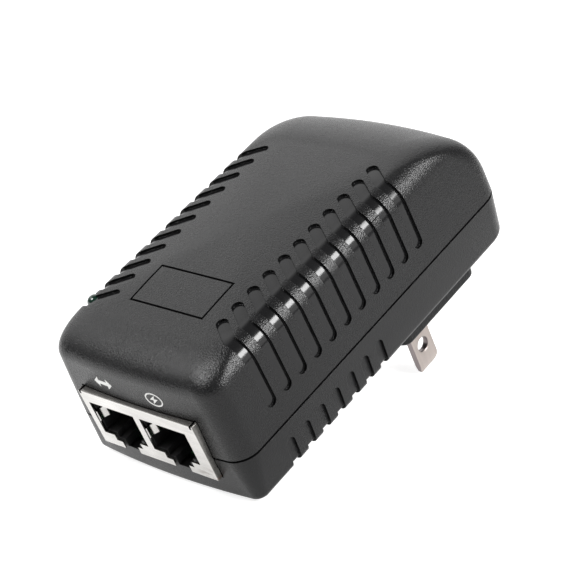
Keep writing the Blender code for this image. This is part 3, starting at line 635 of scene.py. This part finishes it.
def ink(name, base, rough):
    """Printed ink: slightly uneven cover with a faint ripple."""
    m, nt, b = tree(name)
    g = Graph(nt)
    n = g.noise(2600.0, 3.0)
    g.link(g.mix(g.ramp(n, 0.3, 0.75, 0.0, 1.0), tint(base, 0.93), base), b.inputs['Base Color'])
    g.link(g.ramp(n, 0.3, 0.7, rough - 0.06, rough + 0.06), b.inputs['Roughness'])
    g.link(g.bump(n, 0.004 * MM), b.inputs['Normal'])
    return m


def lens(name, base):
    """Tinted clear resin."""
    m, nt, b = tree(name)
    g = Graph(nt)
    n = g.noise(900.0, 2.0)
    g.link(g.mix(g.ramp(n, 0.3, 0.7, 0.0, 1.0), tint(base, 0.8), tint(base, 1.25)), b.inputs['Base Color'])
    g.link(g.ramp(n, 0.3, 0.7, 0.05, 0.12), b.inputs['Roughness'])
    g.link(g.bump(n, 0.002 * MM), b.inputs['Normal'])
    b.inputs['Coat Weight'].default_value = 0.6
    b.inputs['Coat Roughness'].default_value = 0.04
    return m


def laminate(name, base):
    """Solder mask over copper runs and glass weave."""
    m, nt, b = tree(name)
    g = Graph(nt)
    cells = g.voronoi(260.0, g.coords((1, 1, 0.01)))
    weave = g.noise(2400.0, 1.0, 0.5, g.coords((1, 0.25, 1)))
    col = g.mix(g.ramp(cells, 0.42, 0.46, 0.0, 1.0), tint(base, 1.5), base)
    col = g.mix(g.ramp(weave, 0.4, 0.6, 0.0, 0.3), col, tint(base, 0.75))
    g.link(col, b.inputs['Base Color'])
    g.link(g.ramp(weave, 0.3, 0.7, 0.35, 0.5), b.inputs['Roughness'])
    g.link(g.bump(cells, 0.02 * MM), b.inputs['Normal'])
    return m


def wound(name, base, rough, metallic, axis_scale):
    """Turns of wire or tape laid side by side."""
    m, nt, b = tree(name)
    g = Graph(nt)
    wave = g.node('ShaderNodeTexWave', Scale=1.0, Distortion=0.4)
    g.link(g.coords(axis_scale), wave.inputs['Vector'])
    n = g.noise(500.0, 2.0)
    f = wave.outputs['Fac']
    col = g.mix(g.ramp(f, 0.0, 1.0, 0.0, 1.0), tint(base, 0.55), base)
    col = g.mix(g.ramp(n, 0.3, 0.7, 0.0, 0.3), col, tint(base, 1.15))
    g.link(col, b.inputs['Base Color'])
    g.link(g.ramp(n, 0.3, 0.7, rough - 0.05, rough + 0.08), b.inputs['Roughness'])
    g.link(g.bump(f, 0.05 * MM), b.inputs['Normal'])
    b.inputs['Metallic'].default_value = metallic
    return m


M_CASE = moulded("case_textured", (0.008, 0.008, 0.0084), 0.27, grain=0.23, relief=0.064, wear=0.08,
                 calm=(-0.062, -0.030, 0.42))
M_FLOOR = moulded("case_groove_floor", (0.008, 0.008, 0.0085), 0.15, grain=0.22, relief=0.0015, wear=0.0, spread=0.03)
# the lower shell's bottom edge carries a painted highlight, the pale band set by rim
M_LOW = moulded("case_lower", (0.0075, 0.0075, 0.0079), 0.30, grain=0.21, relief=0.046, wear=0.08,
                rim=((Z_BOTTOM + 0.50) * MM, (Z_BOTTOM + 0.22) * MM), calm=(-0.061, -0.042, 0.36))
# painted shade: the walls of the grooves and notches and the label channel take a darker, duller copy of the case
# plastic for the shadow that falls in the cuts
M_SHADED_WALL = moulded("case_wall_painted_shade", (0.0032, 0.0032, 0.0034), 0.55, grain=0.22, relief=0.004, wear=0.0, spread=0.03,
                 spec=0.12)
M_BLOCK = moulded("plug_block_satin", (0.008, 0.008, 0.0085), 0.42, grain=0.45, relief=0.090, wear=0.2, spec=0.30, mottle=0.60)
# the shield's folds and edges carry painted shade (side); skip keeps it off the fingers
M_SHIELD = plated("shield_nickel", (0.75, 0.735, 0.71), 0.20, (0.12, 1, 1), 0.0020, tone=0.14, soft=0.03, face=(0, 1, 0),
                  side=(0.34, 0.335, 0.33), skip=(-0.0157, 0.01545), stain=((0.0142, -0.0635, 0.0104), 0.0050, (0.30, 0.22, 0.18)))
# the blades' edges, tip facets and hole walls carry painted shade (side)
M_BLADE = plated("blade_nickel", (0.66, 0.585, 0.545), 0.33, (1, 1, 0.08), 0.0022, face=(1, 0, 0),
                 side=(0.42, 0.41, 0.44))
M_JACK = moulded("jack_black", (0.006, 0.006, 0.0065), 0.48, grain=0.4, relief=0.004, wear=0.1)
M_GOLD = plated("contact_gold", (0.83, 0.61, 0.25), 0.22, (1, 0.1, 1), 0.001)
M_TIN = plated("tinned_wire", (0.70, 0.70, 0.69), 0.32, (1, 1, 0.2), 0.001)
M_STEEL = plated("screw_zinc", (0.55, 0.55, 0.56), 0.33, (1, 1, 1), 0.002)
M_SINK = plated("heatsink_rolled", (0.65, 0.66, 0.67), 0.38, (1, 0.08, 1), 0.003)
M_BOARD = laminate("board_mask", (0.03, 0.17, 0.07))
M_FERRITE = moulded("ferrite_sintered", (0.045, 0.043, 0.045), 0.62, grain=0.18, relief=0.012, wear=0.4)
M_BOBBIN = moulded("bobbin_phenolic", (0.03, 0.03, 0.03), 0.46, grain=0.5, relief=0.006)
M_TAPE = wound("winding_tape", (0.72, 0.48, 0.04), 0.36, 0.0, (0, 700, 0))
M_COPPER = wound("copper_wire", (0.60, 0.25, 0.10), 0.28, 1.0, (0, 0, 3200))
M_CAN_A = moulded("can_sleeve_blue", (0.02, 0.04, 0.12), 0.30, grain=0.6, relief=0.003, wear=0.1)
M_CAN_B = moulded("can_sleeve_green", (0.02, 0.12, 0.08), 0.30, grain=0.6, relief=0.003, wear=0.1)
M_EPOXY = moulded("epoxy_moulded", (0.02, 0.02, 0.02), 0.52, grain=0.22, relief=0.008)
M_FUSE = moulded("fuse_cap", (0.10, 0.04, 0.02), 0.38, grain=0.5, relief=0.004)
M_FILM = moulded("film_box", (0.70, 0.42, 0.03), 0.42, grain=0.4, relief=0.006)
M_DISC = moulded("ceramic_disc", (0.03, 0.12, 0.42), 0.30, grain=0.8, relief=0.010)
M_LED = lens("led_resin", (0.004, 0.026, 0.016))
M_INK = ink("print_white", (0.82, 0.82, 0.80), 0.5)

BY_SLOT = {
    "case": M_CASE, "plug_block": M_BLOCK, "blade": M_BLADE, "shield": M_SHIELD, "jack_plastic": M_JACK,
    "board": M_BOARD, "led": M_LED, "tinned_wire": M_TIN, "ferrite": M_FERRITE, "bobbin": M_BOBBIN,
    "winding_tape": M_TAPE, "can_sleeve_blue": M_CAN_A, "can_sleeve_green": M_CAN_B, "epoxy": M_EPOXY,
    "fuse_cap": M_FUSE, "copper_wire": M_COPPER, "film_box": M_FILM, "ceramic_disc": M_DISC,
    "heatsink_metal": M_SINK, "screw_steel": M_STEEL, "contact_gold": M_GOLD}
for part in frame["record"]["subparts"]:
    ob = frame["nodes"][part["node"]]
    ob.data.materials.clear()
    ob.data.materials.append(BY_SLOT[part["material_slot"]])


def place(ob, mats, slot, *nodes):
    """Paints a new piece and lets it stand for its CAD nodes."""
    for m in mats:
        ob.data.materials.append(m)
    if nodes:
        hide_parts(*nodes)
    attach(ob, "root")
    return ob


# ------------------------------------------------------------------ upper shell
def core(name, off, z_low=Z_SEAM - 4):
    rings, pole = upper_surface(off, z_low)
    return helper(Solids().loft(rings, pole, (0, CROWN_Y, z_low)).make(name))


def make_cover():
    z0 = Z_SEAM + SEAM / 2
    outer, pole = upper_surface(0.0, z0)
    inner, ipole = upper_surface(WALL, Z_SEAM + LIP_H + GAP, coarse=True)
    lip = [upper_ring(z0, LIP_OFF - GAP), upper_ring(Z_SEAM + LIP_H + GAP, LIP_OFF - GAP)]
    cover = Solids().loft(outer + lip + list(reversed(inner)), pole, ipole).make("upper_shell")

    side, top = Solids(), Solids()
    r = GROOVE_W / 2
    kx = TIP[0] + TIP[1] / tan(SLANT)
    for k in range(GROOVES):
        y = FIRST_Y + PITCH * k
        for sx in (-1, 1):
            side.prism(stadium_half(y, GROOVE_END_Z + r, r, 41.0), 'x', *sorted((sx * (kx + 0.3), sx * 26.0)))
            top.prism(groove_top(y, sx), 'z', 30.5, 41.0)
    side, top = helper(side.make("groove_side")), helper(top.make("groove_top"))
    floor = core("groove_core", GROOVE_D)
    boolean(side, floor)
    boolean(top, floor)
    boolean(cover, side)
    boolean(cover, top)

    # sunk label panel with a narrow channel round it
    x, (y0, y1) = LABEL_X, LABEL_Y
    chan = helper(Solids().box((-x, y0, 33), (x, y1, 41)).make("label_channel"))
    boolean(chan, helper(Solids().box((-x + 0.46, y0 + 0.46, 32), (x - 0.46, y1 - 0.46, 42)).make("label_plate")))
    boolean(chan, core("label_core", LABEL_D))
    boolean(cover, chan)

    boolean(cover, helper(Solids().box((JACK_X[0] - 0.22, -66, Z_SEAM - 3), (JACK_X[1] + 0.22, -57.5, JACK_Z[1] + 0.24))
                          .make("jack_gate_up")))
    boolean(cover, helper(Solids().turned([(0, -4.5), (1.72, -4.5), (1.72, 4.0), (0, 4.0)], LED_AT, LED_AXIS, 40)
                          .make("led_hole")))
    baked(cover)
    skin = Skin(*upper_surface(0.0, z0))
    place(cover, [M_CASE, M_FLOOR, M_SHADED_WALL], "case", "top_cover")
    # the cut walls and the label channel floor take material 2, the painted-shade wall plastic
    true_normals(cover, [(skin, 0), (Skin(*upper_surface(GROOVE_D, z0)), 1), (Skin(*upper_surface(LABEL_D, z0)), 2)], rest=2)
    clear_helpers()
    return cover, skin


# ------------------------------------------------------------------ lower shell
def make_housing():
    z1 = Z_SEAM - SEAM / 2
    outer = [lower_ring(z, 0.0) for z in reversed(lower_levels(0.0, z1))]
    lip = [lower_ring(z1, LIP_OFF), lower_ring(Z_SEAM + LIP_H, LIP_OFF), lower_ring(Z_SEAM + LIP_H, WALL)]
    inner = [lower_ring(z, WALL) for z in (z1, Z_BOTTOM + WALL + 0.25, Z_BOTTOM + WALL)]
    body = Solids().loft(outer + lip + inner, (0, CROWN_Y, Z_BOTTOM), (0, CROWN_Y, Z_BOTTOM + WALL)).make("lower_shell")

    cut = Solids()
    r = GROOVE_W / 2
    for k in range(NOTCHES):
        y = FIRST_Y + PITCH * k
        for sx in (-1, 1):
            cut.prism(stadium_half(y, NOTCH_TOP_Z - r, r, 4.0), 'x', *sorted((sx * NOTCH_IN_X, sx * 26.0)))
    cut = helper(cut.make("notch"))
    rings = [lower_ring(z, GROOVE_D) for z in lower_levels(GROOVE_D, Z_SEAM + 3)]
    boolean(cut, helper(Solids().loft(rings, (0, CROWN_Y, Z_SEAM + 3), (0, CROWN_Y, Z_BOTTOM + GROOVE_D)).make("notch_core")))
    boolean(body, cut)
    posts, pilots = Solids(), Solids()
    for x, y in POSTS:
        posts.turned([(0, Z_BOTTOM + 1), (2.6, Z_BOTTOM + 1), (2.6, PCB_Z[0] - GAP), (0, PCB_Z[0] - GAP)], (x, y, 0), n=32)
        pilots.turned([(0, 7.9), (1.15, 7.9), (1.15, 12), (0, 12)], (x, y, 0), n=24)
    boolean(body, helper(posts.make("posts")), 'UNION')
    boolean(body, helper(pilots.make("pilots")))
    boolean(body, helper(Solids().box((-NECK_X - GAP, NECK_Y[0] - GAP, 4), (NECK_X + GAP, NECK_Y[1] + GAP, 9.6)).make("neck")))
    boolean(body, helper(Solids().box((JACK_X[0] - 0.22, -66, JACK_Z[0] - 0.24), (JACK_X[1] + 0.22, -57.5, 22))
                         .make("jack_gate_low")))
    baked(body)
    place(body, [M_LOW, M_FLOOR, M_SHADED_WALL], "case", "bottom_housing")
    lv = [z1, 15.0, 12.5, 10.5] + lower_levels(0.0, z1)[1:]
    low = [lower_ring(z, 0.0) for z in reversed(lv)]
    fl = [lower_ring(z, GROOVE_D) for z in reversed([z1, 14.0, 11.0] + lower_levels(GROOVE_D, z1)[1:])]
    # the notch walls take material 2, the painted-shade wall plastic
    true_normals(body, [(Skin(low, (0, CROWN_Y, Z_BOTTOM)), 0), (Skin(fl, (0, CROWN_Y, Z_BOTTOM + GROOVE_D)), 0)], rest=2)
    clear_helpers()
    return body


# ------------------------------------------------------------------ plug
def make_block():
    rings = []
    zt = Z_BOTTOM - GAP
    prof = [(0.85 * (1 - math.sin(a)), 0.85 * (1 - math.cos(a))) for a in (math.pi / 2 * k / 8 for k in range(9))]
    prof = [(e + 0.12, z) for e, z in prof]
    prof = [(e, z) for e, z in prof] + [(-0.2, zt - 0.25), (-0.05, zt)]
    for e, z in prof:
        rings.append([(x, y, z) for x, y in
                      rounded_rect(-BLOCK_X + e, BLOCK_X - e, BLOCK_Y[0] + e, BLOCK_Y[1] - e, 2.0 - e * 0.5)])
    for z in (zt, 9.8):
        rings.append([(x, y, z) for x, y in rounded_rect(-NECK_X, NECK_X, NECK_Y[0], NECK_Y[1], 0.8)])
    block = Solids().loft(rings, (0, 0, 0.0), (0, 0, 9.8)).make("plug_block_body")
    cut = Solids()
    for s in (-1, 1):
        cut.box((s * BLADE_X - BLADE_T / 2 - 0.1, -BLADE_W / 2 - 0.1, -2), (s * BLADE_X + BLADE_T / 2 + 0.1, BLADE_W / 2 + 0.1, 12))
    boolean(block, helper(cut.make("slots")))
    baked(block, 32)
    place(block, [M_BLOCK], "plug_block", "plug_block")
    clear_helpers()


def make_blade(name, s, node):
    """Broad faces across X; wedge-eased tip, rounded edges, hole with a countersunk rim."""
    h, t, z0 = BLADE_W / 2 - 0.10, BLADE_T / 2, -BLADE_LEN
    y_mid = 0.10

    def side(inset, rc):
        hh, zb, r = h - inset, z0 + inset, max(rc - inset, 0.15)
        pts = [(1.9 - inset, BLADE_TOP), (1.9 - inset, 9.9), (hh, 9.4), (hh, 2.0)]
        pts += [(hh, HOLE_Z + (2.0 - HOLE_Z) * (1 - k / 30)) for k in range(1, 31)]
        pts += [(hh, HOLE_Z - (HOLE_Z - (zb + r)) * k / 12) for k in range(1, 13)]
        pts += [(hh - r + r * math.cos(a), zb + r - r * math.sin(a)) for a in (math.pi / 2 * k / 12 for k in range(1, 13))]
        return pts + [((hh - r) * (1 - k / 8), zb) for k in range(1, 9)]

    def edge(inset):
        """Outline of the blade, shrunk by an inset; one tip corner is rounder than the other."""
        return side(inset, 1.30) + [(-y, z) for y, z in reversed(side(inset, 0.55)[:-1])]

    def thick(z):
        return t - 0.40 * min(max((z0 + 1.6 - z) / 1.6, 0.0), 1.0)

    def ring_at(inset, drop):
        return [(thick(z) - drop, y + y_mid, z) for y, z in edge(inset)]

    outer = [ring_at(0.0, 0.11), ring_at(0.012, 0.07), ring_at(0.04, 0.035), ring_at(0.075, 0.01), ring_at(0.12, 0.0)]
    base = edge(0.12)
    crease = [(t, y + y_mid, max(z, z0 + 1.6)) for y, z in base]
    hole = []
    for r, x in ((HOLE_R + 0.30, t), (HOLE_R + 0.10, t - 0.10), (HOLE_R + 0.02, t - 0.22), (HOLE_R, t - 0.32)):
        row = []
        for y, z in base:
            a = math.atan2(z - HOLE_Z, y)
            row.append((x, r * math.cos(a) + y_mid, HOLE_Z + r * math.sin(a)))
        hole.append(row)
    half = outer + [crease] + hole
    rows = half + [[(-x, y, z) for x, y, z in row] for row in reversed(half)]
    verts, faces, m = [], [], len(base)
    for row in rows:
        verts += [(s * BLADE_X + x, y, z) for x, y, z in row]
    for k in range(len(rows)):
        for i in range(m):
            a, b2 = k * m, ((k + 1) % len(rows)) * m
            j = (i + 1) % m
            faces.append((a + i, a + j, b2 + j, b2 + i))
    b = Solids().add(verts, faces).make(name)
    bm = bmesh.new()
    bm.from_mesh(b.data)
    bmesh.ops.remove_doubles(bm, verts=bm.verts, dist=2e-7)
    bmesh.ops.dissolve_degenerate(bm, edges=bm.edges, dist=1e-8)
    bmesh.ops.recalc_face_normals(bm, faces=bm.faces)
    bm.to_mesh(b.data)
    bm.free()
    b.data.shade_smooth()
    b.data.set_sharp_from_angle(angle=math.radians(24))
    place(b, [M_BLADE], "blade", node)


# ------------------------------------------------------------------ sockets
def port_outline(cx, grow=0.0):
    b = JACK_Z[0] - 1.0
    z0, z1, zs = PORT_Z[0] - grow, PORT_Z[1] + grow, STEP1_Z - grow

    def half(k, s):
        h, a, c = PORT_HALF + grow, STEP1_X[k] + grow, STEP2_X[k] + grow
        return [(cx + s * x, z) for x, z in ((c, b), (c, zs), (a, zs), (a, z0), (h, z0), (h, z1))]

    return half(1, 1) + list(reversed(half(0, -1)))


def ease(t):
    t = min(max(t, 0.0), 1.0)
    return t * t * (3 - 2 * t)


def make_shield():
    s = SHEET
    (x0, x1), (y0, y1), (z0, z1) = JACK_X, JACK_Y, JACK_Z
    can = Solids().box((x0, y0, z0), (x1, y1, z1)).make("shield_can")
    bevel(can, 0.12, 3, 60)
    baked(can)
    inside = helper(Solids().box((x0 + s, y0 + s, z0 - 2), (x1 - s, y1 - s, z1 - s)).make("shield_inside"))
    boolean(can, inside)
    win = Solids()
    for cx in PORT_X:
        win.prism(port_outline(cx), 'y', y0 - 1, y0 + s + 0.3)
    boolean(can, helper(win.make("windows")))
    # open slits where the top fold meets the side folds
    slit = Solids()
    for xs, q in ((x1, -1), (x0, 1)):
        a, b2 = sorted((xs + q * 0.82, xs + q * 0.26))
        slit.box((a, y0 - 0.2, z1 - 0.70), (b2, y0 + 2.0, z1 + 0.2))
    boolean(can, helper(slit.make("slits")))
    baked(can)
    # springy fingers folded in from the window edges
    fingers = Solids()
    for cx in PORT_X:
        for q in (-1, 1):
            e = cx + q * PORT_HALF
            front, back = [], []
            for k in range(29):
                y = 0.04 + 3.9 * k / 28
                reach = -0.12 + 0.22 * ease(y / 0.5) + 0.60 * ease((y - 1.1) / 1.5) - 0.50 * ease((y - 2.7) / 1.1)
                front.append((e - q * reach, y0 + y))
                back.append((e - q * (reach - 0.28), y0 + y))
            fingers.prism(front + list(reversed(back)), 'z', 18.0, 20.35)
    f = helper(fingers.make("fingers"))
    boolean(can, f, 'UNION')
    baked(can, 35)
    place(can, [M_SHIELD], "shield", "jack_shield")
    clear_helpers()


# ------------------------------------------------------------------ light
def make_led():
    ax = Vector(LED_AXIS).normalized()
    base, rise = -4.4, -1.1
    prof = [(0, base), (1.45, base), (1.5, base + 0.05), (1.5, rise)]
    prof += [(1.5 * math.cos(a), rise + 1.5 * math.sin(a)) for a in (math.pi / 2 * k / 14 for k in range(1, 14))]
    prof += [(0, rise + 1.5)]
    led = Solids().turned(prof, LED_AT, ax, 48).make("light_dome", smooth=40)
    place(led, [M_LED], "led", "status_led")


# ------------------------------------------------------------------ prints
def ring_pts(cx, cz, r, n=28, kx=1.0):
    return [(cx + kx * r * math.cos(2 * math.pi * k / n), cz + r * math.sin(2 * math.pi * k / n)) for k in range(n)]


def make_prints():
    """Two plain pictograms over the sockets: a two-headed arrow, and a bolt in a ring."""
    z = 28.9
    cx, px = PORT_X[0] + 0.1, PORT_X[1] + 0.1
    arrow = [(2.5, 0.0), (1.15, 1.2), (1.15, 0.42), (-1.15, 0.42), (-1.15, 1.2), (-2.5, 0.0),
             (-1.15, -1.2), (-1.15, -0.42), (1.15, -0.42), (1.15, -1.2)]
    net = Solids().prism([(cx + x, z + h) for x, h in arrow], 'y', -66, -52)
    bolt = Solids().prism([(px + x * 1.25, z + y * 1.0) for x, y in
                           ((0.35, 1.1), (-0.85, -0.14), (-0.10, -0.14), (-0.40, -1.1), (0.85, 0.20), (0.10, 0.20))],
                          'y', -66, -52)
    rim = Solids().prism(ring_pts(px, z, 1.55, 40, 1.45), 'y', -66, -52).make("rim_out")
    boolean(rim, helper(Solids().prism(ring_pts(px, z, 1.27, 40, 1.52), 'y', -67, -51).make("rim_in")))
    # each mark is the part of a thin skin over the shoulder that its outline covers
    for name, tool in (("print_arrow", net.make("net")), ("print_bolt", bolt.make("bolt")), ("print_ring", rim)):
        rings, pole = upper_surface(-0.035, 20.0)
        skin = Solids().loft(rings, pole, (0, CROWN_Y, 20.0)).make(name)
        boolean(skin, helper(tool), 'INTERSECT')
        boolean(skin, core("print_core", 0.05, 19.0))
        baked(skin, 40)
        place(skin, [M_INK], "case")
    clear_helpers()


cover, cover_skin = make_cover()
make_housing()
make_block()
make_blade("blade_minus_x", -1, "blade_left")
make_blade("blade_plus_x", 1, "blade_right")
make_shield()
make_led()
make_prints()

# ------------------------------------------------------------------ floor
# The case rests on its lower front edge and the blade tips.
A, B = Vector((0, -61.6, 6.75)), Vector((0, -3.0, -17.9))
along = (B - A).normalized()
up = Vector((1, 0, 0)).cross(along).normalized()
up = up if up.z > 0 else -up
me = bpy.data.meshes.new("floor")
c = A * MM - up * 0.00015
me.from_pydata([c + Vector((x, 0, 0)) + along * y for x, y in ((-0.9, -0.9), (0.9, -0.9), (0.9, 0.9), (-0.9, 0.9))],
               [], [(0, 1, 2, 3)])
if me.polygons[0].normal.dot(up) < 0:
    me.flip_normals()
floor = bpy.data.objects.new("floor", me)
bpy.context.scene.collection.objects.link(floor)
m = bpy.data.materials.new("floor_paper")
m.use_nodes = True
nt = m.node_tree
b = nt.nodes["Principled BSDF"]
g = Graph(nt)
paper = g.noise(9.0, 2.0)
g.link(g.mix(g.ramp(paper, 0.3, 0.7, 0.0, 1.0), (0.50, 0.50, 0.50), (0.52, 0.52, 0.52)), b.inputs['Base Color'])
b.inputs['Emission Color'].default_value = (1, 1, 1, 1)
# white to the eye; in the case's gloss it fades from the lit side to the far one
across = nt.nodes.new('ShaderNodeVectorMath')
across.operation = 'DOT_PRODUCT'
across.inputs[1].default_value = (1.0, 0.05, 0.0)
g.link(g.tc.outputs['Object'], across.inputs[0])
shade = g.ramp(across.outputs['Value'], -0.03, 0.042, 0.85, 0.19)
seen = nt.nodes.new('ShaderNodeLightPath')
fade = nt.nodes.new('ShaderNodeMix')
fade.data_type = 'FLOAT'
ins = [q for q in fade.inputs if q.enabled]
g.link(seen.outputs['Is Camera Ray'], ins[0])
g.link(shade, ins[1])
ins[2].default_value = 0.80
g.link([q for q in fade.outputs if q.enabled][0], b.inputs['Emission Strength'])
b.inputs['Roughness'].default_value = 0.9
b.inputs['Specular IOR Level'].default_value = 0.1
geo = nt.nodes.new('ShaderNodeNewGeometry')
clear = nt.nodes.new('ShaderNodeBsdfTransparent')
both = nt.nodes.new('ShaderNodeMixShader')
out = nt.nodes["Material Output"]
g.link(geo.outputs['Backfacing'], both.inputs['Fac'])
g.link(b.outputs['BSDF'], both.inputs[1])
g.link(clear.outputs['BSDF'], both.inputs[2])
g.link(both.outputs['Shader'], out.inputs['Surface'])
me.materials.append(m)

# ------------------------------------------------------------------ light
CENTRE = Vector((0, -20, 15)) * MM


def soft_box(name, direction, distance, size, power, spin=0.0, colour=(1, 1, 1)):
    """A rectangular lamp facing the object from a direction, size in metres."""
    d = Vector(direction).normalized()
    li = bpy.data.lights.new(name, 'AREA')
    li.shape = 'RECTANGLE'
    li.size, li.size_y = size
    li.energy = power
    li.color = colour
    ob = bpy.data.objects.new(name, li)
    ob.location = CENTRE + d * distance
    ob.rotation_mode = 'QUATERNION'
    q = d.to_track_quat('Z', 'Y')
    ob.rotation_quaternion = q @ Matrix.Rotation(math.radians(spin), 3, 'Z').to_quaternion()
    bpy.context.scene.collection.objects.link(ob)
    return ob


world = bpy.data.worlds.new("studio")
bpy.context.scene.world = world
world.use_nodes = True
nt = world.node_tree
bg = nt.nodes["Background"]
out = nt.nodes["World Output"]
white = nt.nodes.new('ShaderNodeBackground')
white.inputs['Color'].default_value = (1, 1, 1, 1)
white.inputs['Strength'].default_value = 1.05
path = nt.nodes.new('ShaderNodeLightPath')
mix = nt.nodes.new('ShaderNodeMixShader')
tc = nt.nodes.new('ShaderNodeTexCoord')


def heading(az, el):
    a, e = math.radians(az), math.radians(el)
    return (math.cos(e) * math.cos(a), math.cos(e) * math.sin(a), math.sin(e))


# what the case mirrors: a dim room, a bright wall behind on the left, a pale ceiling patch
total = None
for az, el, inner, outer, gain in ((140, 12, 16, 52, 1.05), (-174, 40, 10, 40, 0.15), (25, 5, 15, 60, 0.20)):
    dot = nt.nodes.new('ShaderNodeVectorMath')
    dot.operation = 'DOT_PRODUCT'
    dot.inputs[1].default_value = heading(az, el)
    nt.links.new(tc.outputs['Generated'], dot.inputs[0])
    lobe = nt.nodes.new('ShaderNodeMapRange')
    lobe.interpolation_type = 'SMOOTHSTEP'
    nt.links.new(dot.outputs['Value'], lobe.inputs['Value'])
    lobe.inputs['From Min'].default_value = math.cos(math.radians(outer))
    lobe.inputs['From Max'].default_value = math.cos(math.radians(inner))
    lobe.inputs['To Min'].default_value, lobe.inputs['To Max'].default_value = 0.0, gain
    add = nt.nodes.new('ShaderNodeMath')
    add.operation = 'ADD'
    nt.links.new(lobe.outputs['Result'], add.inputs[0])
    if total is None:
        add.inputs[1].default_value = 0.12
    else:
        nt.links.new(total, add.inputs[1])
    total = add.outputs[0]
nt.links.new(total, bg.inputs['Strength'])
bg.inputs['Color'].default_value = (1, 1, 1, 1)
nt.links.new(path.outputs['Is Camera Ray'], mix.inputs['Fac'])
nt.links.new(bg.outputs['Background'], mix.inputs[1])
nt.links.new(white.outputs['Background'], mix.inputs[2])
nt.links.new(mix.outputs['Shader'], out.inputs['Surface'])

soft_box("key_right", heading(22, 27), 0.7, (0.38, 0.22), 18.0 * math.pi * 0.38 * 0.22)
soft_box("wash_right", heading(24, 8), 0.8, (0.55, 0.35), 0.9 * math.pi * 0.55 * 0.35)
soft_box("top_front", heading(-135, 70), 0.7, (0.26, 0.26), 13.0 * math.pi * 0.26 * 0.26)
soft_box("fill_left", heading(-168, 46), 0.8, (0.45, 0.18), 2.2 * math.pi * 0.45 * 0.18)

# ------------------------------------------------------------------ camera
cam_data = bpy.data.cameras.new("view")
cam_data.sensor_width = 36.0
cam_data.lens = 118.253
cam_data.clip_start, cam_data.clip_end = 0.01, 20.0
cam = bpy.data.objects.new("view", cam_data)
cam.matrix_world = Matrix(((0.7210954, -0.1805943, 0.6688850, 0.2474354),
                           (0.6065394, 0.6311594, -0.4834747, -0.1994432),
                           (-0.3348603, 0.7543365, 0.5646637, 0.2280037),
                           (0, 0, 0, 1)))
bpy.context.scene.collection.objects.link(cam)
bpy.context.scene.camera = cam
bpy.context.scene.view_settings.view_transform = 'Standard'
bpy.context.scene.view_settings.look = 'None'
